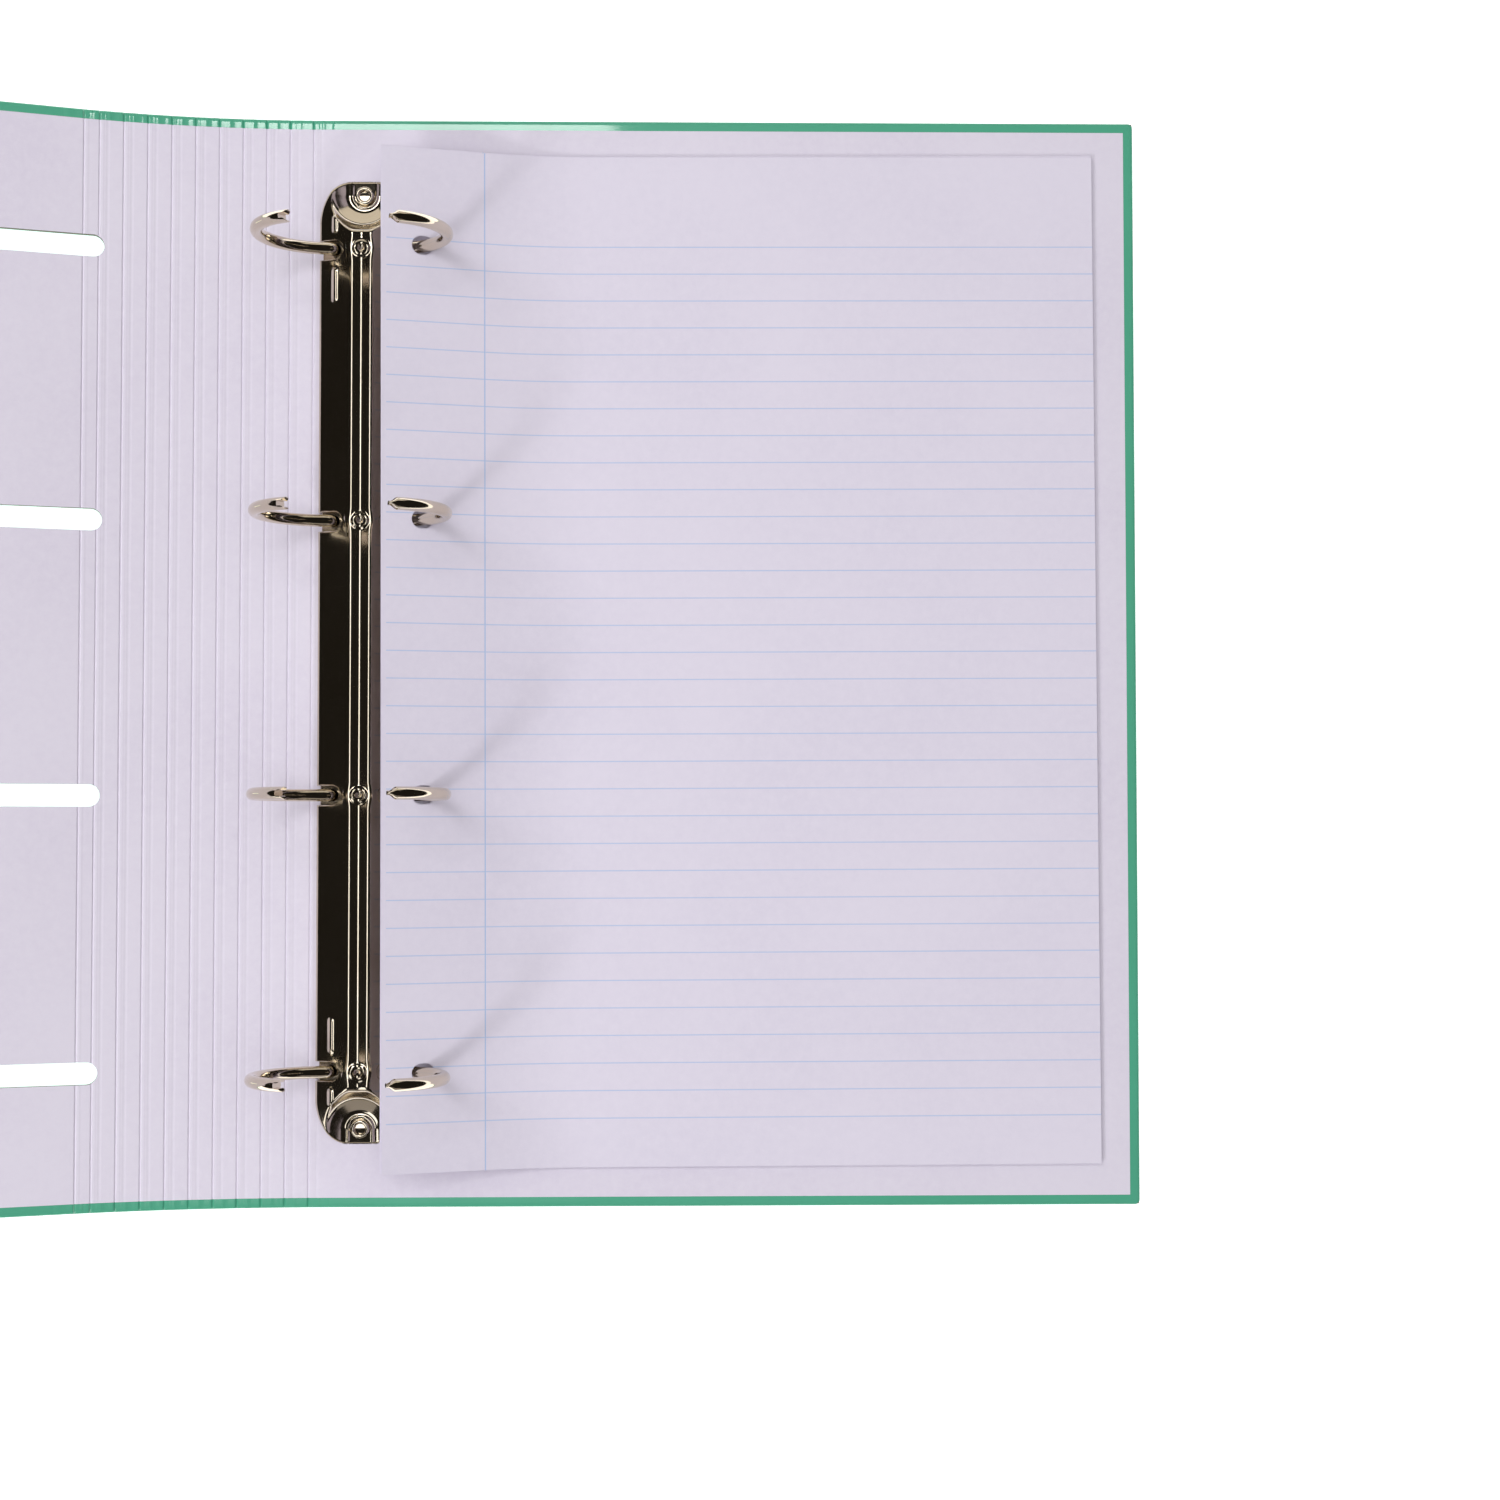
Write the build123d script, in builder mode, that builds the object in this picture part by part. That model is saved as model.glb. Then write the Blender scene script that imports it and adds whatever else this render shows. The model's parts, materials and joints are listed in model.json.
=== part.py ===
from build123d import *
from math import atan2, cos, degrees, pi, radians, sin, sqrt, tan
import os

os.makedirs("parts", exist_ok=True)

# ---------------------------------------------------------------------------
# Driving dimensions, in millimetres and degrees. The binder lies open with its
# back cover flat on the table. X runs across the covers, Y along the spine and
# Z up. The origin is on the table, at the middle of the open binder.
# ---------------------------------------------------------------------------
cover_height = 320.0
cover_width = 243.0
wrap_thickness = 0.3
board_thickness = 1.5
turned_in_width = 3.0

strip_count = 10
strip_width = 6.9
last_strip_width = 4.45
front_cover_tilt = 18.0
groove_half_angle = 10.0

ring_pitch = 80.0
ring_count = 4
slot_clearance = 1.45
slot_reach_front_cover = 42.0
slot_reach_strip_nine = 1.6

mechanism_to_crease = 15.2
housing_width = 25.7
housing_end = 4.5
housing_metal = 0.8
housing_wall_height = 3.2
housing_shoulder_x = 4.6
housing_shoulder_height = 6.7
housing_ridge_x = 2.8
housing_ridge_height = 7.4
housing_valley_height = 6.8
housing_corner_radius = 7.9
lip_width = 1.05
lip_height = 1.1
notch_clearance = 1.05
notch_end_clearance = 0.25
dish_radius = 5.0
dish_taper = 40.0
dish_run = 28.0
rib_x = 8.0
rib_width = 2.0
rib_height = 0.45
rib_taper = 30.0
rib_long = 10.7
rib_short = 5.7
rib_gap_long = 5.2
rib_gap_short = 4.6
boss_radius = 2.35
boss_height = 0.45
boss_dimple_radius = 1.1
collar_radius = 4.0
collar_width = 1.0
collar_height = 0.8
collar_taper = 15.0
housing_bend_radius = 0.8

rivet_beyond_ring = 17.0
rivet_bore_radius = 1.45
rivet_shank_radius = 2.2
rivet_head_radius = 4.0
rivet_flare_radius = 2.7
rivet_flare_height = 0.9
rivet_flare_rounding = 0.5
rivet_clearance = 0.05

pivot_height = 1.9
blade_thickness = 1.0
blade_edge_clearance = 0.15
blade_middle_clearance = 0.3
blade_end_clearance = 12.0
blade_closed_angle = -6.0
ring_travel = 21.0

wire_radius = 1.8
ring_radius = 18.8
ring_centre_above_pivot = 20.4
foot_distance = 4.0
foot_bend_radius = 3.0
foot_clearance = 0.05
tip_gap = 0.1
tongue_length = 1.8
tongue_half_width = 0.5
fork_half_width = 0.8
fork_depth = 2.2

paper_width = 210.0
paper_height = 297.0
paper_thickness = 1.2
paper_slope = 16.0
paper_height_at_hole = 9.6
paper_hole_inset = 12.0
paper_hole_clearance = 1.2
paper_hole_slack = 1.0
paper_bend_radius = 108.0

# ---------------------------------------------------------------------------
# Sizes that follow from the ones above
# ---------------------------------------------------------------------------
lining_thickness = wrap_thickness
cover_thickness = wrap_thickness + board_thickness + lining_thickness
crease_count = strip_count + 1
crease_fold = front_cover_tilt / crease_count
strip_widths = [strip_width] * (strip_count - 1) + [last_strip_width]

crease_points = [(0.0, 0.0)]
for number, width in enumerate(strip_widths, start=1):
    tilt = radians(number * crease_fold)
    last_x, last_z = crease_points[-1]
    crease_points.append((last_x - width * cos(tilt), last_z + width * sin(tilt)))

open_width = cover_width - crease_points[-1][0] + cover_width * cos(radians(front_cover_tilt))
hinge_x = open_width / 2 - cover_width
mechanism_x = hinge_x + mechanism_to_crease
ring_positions = [ring_pitch * (n - (ring_count - 1) / 2) for n in range(ring_count)]
last_ring_y = ring_positions[-1]
slot_width = 2 * (wire_radius + slot_clearance)
half_width = housing_width / 2
rivet_y = last_ring_y + rivet_beyond_ring
housing_length = 2 * (rivet_y + housing_end)
pivot_x = half_width - housing_metal - blade_thickness / 2 - blade_edge_clearance
blade_width = pivot_x - blade_middle_clearance
blade_length = 2 * (rivet_y - blade_end_clearance)
blade_open_angle = blade_closed_angle + ring_travel
notch_width = 2 * (wire_radius + notch_clearance)
notch_depth = half_width - pivot_x + foot_distance + wire_radius + notch_end_clearance
paper_hole_width = 2 * (wire_radius + paper_hole_clearance)
paper_hole_length = paper_hole_width + paper_hole_slack


def crease_inset(height):
    """How far a groove face stands back from its crease, at a height above the outer face."""
    return height * tan(radians(groove_half_angle))


def panel_plane(number, along_y=True):
    """Plane of one panel, at its crease: 0 is the back cover, 1 to 10 the strips, 11 the front.

    The plane's x runs away from the crease. Its y rises from the outer face if along_y is
    true, for profiles drawn across the binder; otherwise its z does, for shapes cut through.
    """
    side = 1 if number == 0 else -1
    tilt = radians(number * crease_fold)
    crease_x, crease_z = crease_points[max(number - 1, 0)]
    outward = (side * cos(tilt), 0, sin(tilt))
    upward = (-side * sin(tilt), 0, cos(tilt))
    plane_z = (0, -side, 0) if along_y else upward
    return Plane(origin=(hinge_x + crease_x, 0, crease_z), x_dir=outward, z_dir=plane_z)


def panel_width(number):
    """Width of a panel between its creases, or from its crease to its free edge."""
    return strip_widths[number - 1] if 1 <= number <= strip_count else cover_width


def add_layer(number, bottom, top, edge_inset, mode=Mode.ADD):
    """One layer of a panel, between two heights, kept back from the free edges."""
    width = panel_width(number)
    free_edge = number in (0, crease_count)
    far_bottom = width - (edge_inset if free_edge else crease_inset(bottom))
    far_top = width - (edge_inset if free_edge else crease_inset(top))
    with BuildSketch(panel_plane(number)) as shape:
        Polygon(
            (crease_inset(bottom), bottom),
            (far_bottom, bottom),
            (far_top, top),
            (crease_inset(top), top),
            align=None,
        )
    extrude(shape.sketch, amount=cover_height / 2 - edge_inset, both=True, mode=mode)


def cut_slots(number):
    """The ring slots, where they cross one panel."""
    beyond_crease = sum(strip_widths[number - 1:])
    slot_start = beyond_crease - last_strip_width - slot_reach_strip_nine
    slot_end = beyond_crease + slot_reach_front_cover
    with BuildSketch(panel_plane(number, along_y=False)) as shape:
        with Locations(*[((slot_start + slot_end) / 2, y) for y in ring_positions]):
            SlotOverall(slot_end - slot_start, slot_width)
    extrude(shape.sketch, amount=cover_thickness, mode=Mode.SUBTRACT)


def cut_rivet_holes(radius, height):
    """Round holes through the back cover for the two rivets."""
    with BuildSketch(Plane.XY) as shape:
        with Locations((mechanism_x, -rivet_y), (mechanism_x, rivet_y)):
            Circle(radius)
    extrude(shape.sketch, amount=height, mode=Mode.SUBTRACT)


def make_panel(number, wrap_name, board_name, lining_name):
    """Wrap, board and lining of one panel, each saved as its own part."""
    board_top = wrap_thickness + board_thickness
    slotted = number >= strip_count - 1
    riveted = number == 0

    with BuildPart() as wrap:
        add_layer(number, 0, cover_thickness, 0)
        add_layer(number, wrap_thickness, board_top, wrap_thickness, Mode.SUBTRACT)
        add_layer(number, board_top, cover_thickness, turned_in_width, Mode.SUBTRACT)
        if slotted:
            cut_slots(number)
        if riveted:
            cut_rivet_holes(rivet_head_radius + rivet_clearance, wrap_thickness)
    wrap.part.label = wrap_name
    export_step(wrap.part, f"parts/{wrap_name}.step")

    with BuildPart() as board:
        add_layer(number, wrap_thickness, board_top, wrap_thickness)
        if slotted:
            cut_slots(number)
        if riveted:
            cut_rivet_holes(rivet_shank_radius + rivet_clearance, cover_thickness)
    board.part.label = board_name
    export_step(board.part, f"parts/{board_name}.step")

    with BuildPart() as lining:
        add_layer(number, board_top, cover_thickness, turned_in_width)
        if slotted:
            cut_slots(number)
        if riveted:
            cut_rivet_holes(rivet_shank_radius + rivet_clearance, cover_thickness)
    lining.part.label = lining_name
    export_step(lining.part, f"parts/{lining_name}.step")


# ---------------------------------------------------------------------------
# Covers and spine
# ---------------------------------------------------------------------------
make_panel(0, "back_wrap", "back_board", "back_lining")
for strip in range(1, strip_count + 1):
    make_panel(strip, f"strip_{strip}_wrap", f"strip_{strip}_board", f"strip_{strip}_lining")
make_panel(crease_count, "front_wrap", "front_board", "front_lining")

# ---------------------------------------------------------------------------
# Mechanism housing: a pressed steel channel, hollow beneath, riveted at its ends
# ---------------------------------------------------------------------------
inner_half_width = half_width - housing_metal
flank_rise = housing_shoulder_height - housing_wall_height
flank_run = half_width - housing_shoulder_x
flank_angle = degrees(atan2(flank_rise, flank_run))
flank_drop = housing_metal / cos(radians(flank_angle))
inner_wall_height = housing_wall_height + housing_metal * flank_rise / flank_run - flank_drop


def mechanism_plane(height=0.0):
    """Level plane at a height above the lining, with x = 0 on the mechanism's centre line."""
    return Plane(origin=(mechanism_x, 0, cover_thickness + height))


def across_plane():
    """Upright plane across the mechanism: x to the right, y up from the lining."""
    return Plane(origin=(mechanism_x, 0, cover_thickness), x_dir=(1, 0, 0), z_dir=(0, -1, 0))


def channel_half(wall_x, wall_top, drop):
    """Corners of the right half of the channel's section, from the side wall to the valley."""
    return [
        (wall_x, wall_top),
        (housing_shoulder_x, housing_shoulder_height - drop),
        (housing_ridge_x, housing_ridge_height - drop),
        (0, housing_valley_height - drop),
    ]


def mirrored(points):
    """The same corners on the left side, in reverse order."""
    return [(-x, z) for x, z in reversed(points) if x > 0]


def dish_shape(radius, start_height, mode=Mode.ADD):
    """Tapered hollow round each rivet, open towards the nearer end of the housing."""
    for side in (-1, 1):
        with BuildSketch(mechanism_plane(start_height)) as shape:
            with Locations((0, side * (rivet_y + dish_run / 2))):
                SlotOverall(dish_run + 2 * radius, 2 * radius, rotation=90)
        extrude(shape.sketch, amount=housing_ridge_height, taper=-dish_taper, mode=mode)


with BuildPart() as housing_cavity:
    inner = channel_half(inner_half_width, inner_wall_height, flank_drop)
    lip = [(inner_half_width - lip_width, 0), (inner_half_width - lip_width, lip_height)]
    lip = lip + [(inner_half_width, lip_height)]
    with BuildSketch(across_plane()):
        Polygon(*(lip + inner + mirrored(lip + inner)), align=None)
    extrude(amount=housing_length / 2 - housing_metal, both=True)
    with BuildSketch(mechanism_plane()):
        RectangleRounded(
            housing_width - 2 * housing_metal,
            housing_length - 2 * housing_metal,
            housing_corner_radius - housing_metal,
        )
    extrude(amount=housing_ridge_height, mode=Mode.INTERSECT)
    wall_offset = housing_metal / cos(radians(dish_taper))
    floor_offset = housing_metal * tan(radians(dish_taper))
    dish_shape(dish_radius + wall_offset - floor_offset, 0, Mode.SUBTRACT)

with BuildPart() as housing:
    outer = [(half_width, 0)] + channel_half(half_width, housing_wall_height, 0)
    with BuildSketch(across_plane()) as section:
        Polygon(*(outer + mirrored(outer)), align=None)
        fillet(section.vertices().sort_by(Axis.Y)[2:], radius=housing_bend_radius)
    extrude(amount=housing_length / 2, both=True)
    with BuildSketch(mechanism_plane()):
        RectangleRounded(housing_width, housing_length, housing_corner_radius)
    extrude(amount=housing_ridge_height, mode=Mode.INTERSECT)
    dish_shape(dish_radius, housing_metal, Mode.SUBTRACT)
    add(housing_cavity.part, mode=Mode.SUBTRACT)
    with BuildSketch(mechanism_plane()):
        for ring_y in ring_positions:
            for side in (-1, 1):
                with Locations((side * half_width, ring_y)):
                    SlotOverall(2 * notch_depth, notch_width)
    extrude(amount=housing_ridge_height, mode=Mode.SUBTRACT)
    for side in (-1, 1):
        flank_mid_x = (half_width + housing_shoulder_x) / 2
        flank_mid_z = (housing_wall_height + housing_shoulder_height) / 2
        along_flank = (rib_x - flank_mid_x) / cos(radians(flank_angle))
        flank = Plane(
            origin=(mechanism_x + side * flank_mid_x, 0, cover_thickness + flank_mid_z),
            x_dir=(cos(radians(flank_angle)), 0, -side * sin(radians(flank_angle))),
            z_dir=(side * sin(radians(flank_angle)), 0, cos(radians(flank_angle))),
        )
        for end in (-1, 1):
            long_y = end * (last_ring_y - rib_gap_long - rib_long / 2)
            short_y = end * (last_ring_y + rib_gap_short + rib_short / 2)
            for rib_y, rib_length in ((long_y, rib_long), (short_y, rib_short)):
                with BuildSketch(flank):
                    with Locations((side * along_flank, rib_y)):
                        SlotOverall(rib_length, rib_width, rotation=90)
                extrude(amount=rib_height, taper=rib_taper)
    for ring_y in ring_positions:
        with BuildSketch(mechanism_plane(housing_valley_height - housing_metal / 2)):
            with Locations((0, ring_y)):
                Circle(boss_radius)
        extrude(amount=boss_height + housing_metal / 2)
        boss_top = cover_thickness + housing_valley_height + boss_height
        with Locations((mechanism_x, ring_y, boss_top)):
            Sphere(boss_dimple_radius, mode=Mode.SUBTRACT)
    for side in (-1, 1):
        end_y = side * (rivet_y + housing_end / 2)
        with BuildSketch(mechanism_plane(housing_metal)):
            for radius, mode in ((collar_radius, Mode.ADD), (collar_radius - collar_width, Mode.SUBTRACT)):
                with Locations((0, side * rivet_y)):
                    Circle(radius, mode=mode)
                with Locations((0, end_y)):
                    Rectangle(2 * radius, housing_end, mode=mode)
        extrude(amount=collar_height, taper=collar_taper)
    with BuildSketch(mechanism_plane()):
        with Locations((0, -rivet_y), (0, rivet_y)):
            Circle(rivet_shank_radius + rivet_clearance)
    extrude(amount=housing_metal, mode=Mode.SUBTRACT)
housing.part.label = "housing"
export_step(housing.part, "parts/housing.step")

# ---------------------------------------------------------------------------
# Hollow rivets: flush head in the wrap, shank through the cover, flared at the top
# ---------------------------------------------------------------------------
with BuildPart() as rivets:
    rivet_top = cover_thickness + housing_metal
    for side in (-1, 1):
        rivet_plane = Plane(
            origin=(mechanism_x, side * rivet_y, 0), x_dir=(1, 0, 0), z_dir=(0, -1, 0)
        )
        with BuildSketch(rivet_plane) as rivet_section:
            Polygon(
                (rivet_bore_radius, 0),
                (rivet_head_radius, 0),
                (rivet_head_radius, wrap_thickness),
                (rivet_shank_radius, wrap_thickness),
                (rivet_shank_radius, rivet_top),
                (rivet_flare_radius, rivet_top),
                (rivet_flare_radius, rivet_top + rivet_flare_height),
                (rivet_bore_radius, rivet_top + rivet_flare_height),
                align=None,
            )
            fillet(rivet_section.vertices().sort_by(Axis.Y)[-2:], radius=rivet_flare_rounding)
        revolve(axis=Axis((mechanism_x, side * rivet_y, 0), (0, 0, 1)))
rivets.part.label = "rivets"
export_step(rivets.part, "parts/rivets.step")


# ---------------------------------------------------------------------------
# Blades and half-rings. Each blade turns about its outer edge, under the housing's lip.
# ---------------------------------------------------------------------------
def blade_plane(side, angle, shift_y=0.0, across=True):
    """Plane of one blade at its pivot, x towards the middle; side is -1 left or 1 right.

    With across true, its y points up from the blade, for sections and ring paths.
    Otherwise its z does, for the holes through the blade.
    """
    turn = radians(angle)
    inward = (-side * cos(turn), 0, sin(turn))
    upward = (side * sin(turn), 0, cos(turn))
    plane_z = (0, side, 0) if across else upward
    origin = (mechanism_x + side * pivot_x, shift_y, cover_thickness + pivot_height)
    return Plane(origin=origin, x_dir=inward, z_dir=plane_z)


closed_turn = radians(blade_closed_angle)
centre_s = pivot_x * cos(closed_turn) + ring_centre_above_pivot * sin(closed_turn)
centre_h = ring_centre_above_pivot * cos(closed_turn) - pivot_x * sin(closed_turn)
bend_s = foot_distance - foot_bend_radius
centre_distance = ring_radius + foot_bend_radius
bend_h = centre_h - sqrt(centre_distance ** 2 - (centre_s - bend_s) ** 2)
join_share = foot_bend_radius / centre_distance
join_point = (bend_s + (centre_s - bend_s) * join_share, bend_h + (centre_h - bend_h) * join_share)


def ring_point(from_top):
    """Point on a half-ring's centre line; from_top is the angle outwards from the ring's top."""
    angle = radians(90 + from_top) - closed_turn
    return (centre_s + ring_radius * cos(angle), centre_h + ring_radius * sin(angle))


def make_blade(side, name):
    """Flat steel blade, rounded along its pivot edge, with a hole for each wire's foot."""
    with BuildPart() as blade:
        with BuildSketch(blade_plane(side, blade_open_angle)) as shape:
            Circle(blade_thickness / 2)
            Rectangle(blade_width, blade_thickness, align=(Align.MIN, Align.CENTER))
        extrude(shape.sketch, amount=blade_length / 2, both=True)
        with BuildSketch(blade_plane(side, blade_open_angle, across=False)) as shape:
            with Locations(*[(foot_distance, ring_y) for ring_y in ring_positions]):
                Circle(wire_radius + foot_clearance)
        extrude(shape.sketch, amount=blade_thickness, both=True, mode=Mode.SUBTRACT)
    blade.part.label = name
    export_step(blade.part, f"parts/{name}.step")


def make_half_ring(side, ring_y, name):
    """One bent wire, from its foot in the blade to its tip at the top of the ring."""
    gap_angle = degrees(tip_gap / ring_radius)
    tip_angle = -degrees(tongue_length / ring_radius) if side > 0 else gap_angle
    bend_middle = (
        bend_s + foot_bend_radius * cos(pi / 4),
        bend_h + foot_bend_radius * sin(pi / 4),
    )
    tip_turn = gap_angle - blade_closed_angle
    with BuildPart() as half_ring:
        with BuildLine(blade_plane(side, blade_open_angle, ring_y)) as path:
            Line((foot_distance, -blade_thickness / 2), (foot_distance, bend_h))
            ThreePointArc((foot_distance, bend_h), bend_middle, join_point)
            ThreePointArc(join_point, ring_point(90), ring_point(tip_angle))
        with BuildSketch(Plane(origin=path.line @ 0, z_dir=path.line % 0)):
            Circle(wire_radius)
        sweep(path=path.line)
        cut_planes = [0] if side < 0 else [-1, 1]
        for way in cut_planes:
            middle = ring_y + way * (tongue_half_width + wire_radius)
            length = fork_depth if side < 0 else 2 * tongue_length
            from_end = Align.MAX if side < 0 else Align.MIN
            with BuildSketch(blade_plane(side, blade_open_angle, middle)) as shape:
                with Locations(ring_point(gap_angle)):
                    Rectangle(
                        length, 3 * wire_radius, rotation=tip_turn, align=(from_end, Align.CENTER)
                    )
            depth = fork_half_width if side < 0 else wire_radius
            extrude(shape.sketch, amount=depth, both=True, mode=Mode.SUBTRACT)
    half_ring.part.label = name
    export_step(half_ring.part, f"parts/{name}.step")


make_blade(-1, "left_blade")
make_blade(1, "right_blade")
for ring_number, ring_y in enumerate(reversed(ring_positions), start=1):
    make_half_ring(-1, ring_y, f"left_half_ring_{ring_number}")
    make_half_ring(1, ring_y, f"right_half_ring_{ring_number}")

# ---------------------------------------------------------------------------
# Filed paper: a thin stack that slopes from the rings down to the lining
# ---------------------------------------------------------------------------
slope = radians(paper_slope)
open_turn = radians(blade_open_angle)
open_centre_x = pivot_x - centre_s * cos(open_turn) + centre_h * sin(open_turn)
open_centre_z = pivot_height + centre_s * sin(open_turn) + centre_h * cos(open_turn)
wire_reach = sqrt(ring_radius ** 2 - (open_centre_z - paper_height_at_hole) ** 2)
paper_edge_x = open_centre_x + wire_reach - paper_hole_inset * cos(slope)
paper_start_z = paper_height_at_hole + paper_hole_inset * sin(slope)
arc_drop = paper_bend_radius * (1 - cos(slope))
straight_length = (paper_start_z - paper_thickness / 2 - arc_drop) / sin(slope)
arc_length = paper_bend_radius * slope


def paper_point(distance, above):
    """Point of the stack's section, by distance from its left edge and offset from its middle."""
    straight = min(distance, straight_length)
    turned = min(max(distance - straight_length, 0) / paper_bend_radius, slope)
    flat = max(distance - straight_length - arc_length, 0)
    here = slope - turned
    x = paper_edge_x + straight * cos(slope) + paper_bend_radius * (sin(slope) - sin(here)) + flat
    z = paper_start_z - straight * sin(slope) - paper_bend_radius * (cos(here) - cos(slope))
    return (x + above * sin(here), z + above * cos(here))


with BuildPart() as filed_paper:
    stations = (0, straight_length, straight_length + arc_length, paper_width)
    arc_middle = straight_length + arc_length / 2
    with BuildSketch(across_plane()):
        with BuildLine():
            for above in (-paper_thickness / 2, paper_thickness / 2):
                Line(paper_point(stations[0], above), paper_point(stations[1], above))
                ThreePointArc(
                    paper_point(stations[1], above),
                    paper_point(arc_middle, above),
                    paper_point(stations[2], above),
                )
                Line(paper_point(stations[2], above), paper_point(stations[3], above))
            for end in (0, paper_width):
                Line(paper_point(end, -paper_thickness / 2), paper_point(end, paper_thickness / 2))
        make_face()
    extrude(amount=paper_height / 2, both=True)
    hole_x, hole_z = paper_point(paper_hole_inset, 0)
    hole_plane = Plane(
        origin=(mechanism_x + hole_x, 0, cover_thickness + hole_z),
        x_dir=(cos(slope), 0, -sin(slope)),
        z_dir=(sin(slope), 0, cos(slope)),
    )
    with BuildSketch(hole_plane):
        with Locations(*[(0, ring_y) for ring_y in ring_positions]):
            SlotOverall(paper_hole_length, paper_hole_width)
    extrude(amount=paper_thickness, both=True, mode=Mode.SUBTRACT)
filed_paper.part.label = "filed_paper"
export_step(filed_paper.part, "parts/filed_paper.step")
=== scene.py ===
"""Open four-ring binder with a thin stack of ruled paper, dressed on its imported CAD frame.

Everything is worked out in millimetres in the frame's own axes and put into the meshes in metres.
"""

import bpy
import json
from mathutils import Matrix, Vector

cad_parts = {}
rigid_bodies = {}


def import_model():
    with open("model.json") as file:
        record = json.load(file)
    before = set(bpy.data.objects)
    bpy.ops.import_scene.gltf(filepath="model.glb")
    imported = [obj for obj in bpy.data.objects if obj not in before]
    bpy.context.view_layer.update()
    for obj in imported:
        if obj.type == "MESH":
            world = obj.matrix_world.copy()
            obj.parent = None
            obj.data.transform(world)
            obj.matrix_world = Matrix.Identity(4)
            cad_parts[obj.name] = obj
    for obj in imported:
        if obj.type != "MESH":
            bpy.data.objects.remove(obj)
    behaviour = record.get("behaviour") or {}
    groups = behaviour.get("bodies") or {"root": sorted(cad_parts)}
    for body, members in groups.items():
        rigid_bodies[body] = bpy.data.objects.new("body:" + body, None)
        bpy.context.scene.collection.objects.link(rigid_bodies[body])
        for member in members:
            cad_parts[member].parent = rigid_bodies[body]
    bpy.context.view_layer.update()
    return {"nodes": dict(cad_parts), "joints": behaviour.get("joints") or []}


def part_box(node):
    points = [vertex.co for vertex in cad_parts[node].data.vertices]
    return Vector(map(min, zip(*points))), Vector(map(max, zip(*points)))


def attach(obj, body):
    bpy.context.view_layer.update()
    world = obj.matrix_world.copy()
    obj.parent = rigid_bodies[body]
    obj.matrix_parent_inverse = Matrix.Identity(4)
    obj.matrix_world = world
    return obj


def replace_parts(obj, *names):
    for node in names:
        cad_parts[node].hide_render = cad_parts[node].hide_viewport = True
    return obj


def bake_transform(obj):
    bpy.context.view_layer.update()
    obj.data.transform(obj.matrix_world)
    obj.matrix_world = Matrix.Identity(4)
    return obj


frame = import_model()

import json
import logging
import math
from dataclasses import dataclass, field
from enum import Enum

import bmesh
import bpy
import numpy as np
from mathutils import Matrix, Vector

log = logging.getLogger("binder")
METRES = 0.001
MERGE = 2e-6
FAR = 1000.0
FRONT_TILT = math.radians(18)
RIVET_FROM_END = 4.5


class Side(Enum):
    """The two halves of the ring mechanism, by the sign of their X."""

    LEFT = -1
    RIGHT = 1


# ---------------------------------------------------------------------------
# Shaders
# ---------------------------------------------------------------------------
def linear(code: str) -> tuple[float, float, float, float]:
    """Turns an sRGB hex value into linear red, green, blue and alpha.

    Args:
        code: colour as "#RRGGBB".

    Returns:
        The linear colour: c / 12.92 below 0.04045, ((c + 0.055) / 1.055) ^ 2.4 above.
    """
    values = np.array([int(code[at:at + 2], 16) for at in (1, 3, 5)]) / 255
    curve = np.where(values <= 0.04045, values / 12.92, ((values + 0.055) / 1.055) ** 2.4)
    return (*curve.tolist(), 1.0)


def add_node(
    tree: bpy.types.NodeTree, kind: str, inputs: dict | None = None, **settings
) -> bpy.types.Node:
    """Adds one node, with its settings and its inputs.

    Args:
        tree: node tree that it goes in.
        kind: Blender's type name of the node.
        inputs: socket name or number to a value, or to the output socket that feeds it.
        settings: properties of the node.

    Returns:
        The new node.
    """
    node = tree.nodes.new(kind)
    for name, value in settings.items():
        setattr(node, name, value)
    for socket, value in (inputs or {}).items():
        if isinstance(value, bpy.types.NodeSocket):
            tree.links.new(value, node.inputs[socket])
        else:
            node.inputs[socket].default_value = value
    return node


@dataclass(frozen=True)
class Out:
    """An output of an earlier node in a table of nodes."""

    node: str
    socket: int | str = 0


SPOT = Out("spot", "Object")


@dataclass(frozen=True)
class Finish:
    """A look made of a table of nodes, from the spot on the object to the skin."""

    name: str

    def steps(self) -> dict[str, tuple]:
        """Nodes by name: the type after "ShaderNode", the inputs, and any settings."""
        raise NotImplementedError

    def material(self) -> bpy.types.Material:
        """Builds the material.

        Returns:
            The material.
        """
        made = bpy.data.materials.new(self.name)
        made.use_nodes = True
        made.node_tree.nodes.clear()
        output = ("OutputMaterial", {"Surface": Out("skin")})
        table = {"spot": ("TexCoord", {}), **self.steps(), "output": output}
        nodes = {}
        for name, (kind, inputs, *settings) in table.items():
            fed = {
                socket: nodes[value.node].outputs[value.socket] if isinstance(value, Out) else value
                for socket, value in inputs.items()
            }
            nodes[name] = add_node(made.node_tree, f"ShaderNode{kind}", fed, **dict(*settings))
        return made


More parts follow.
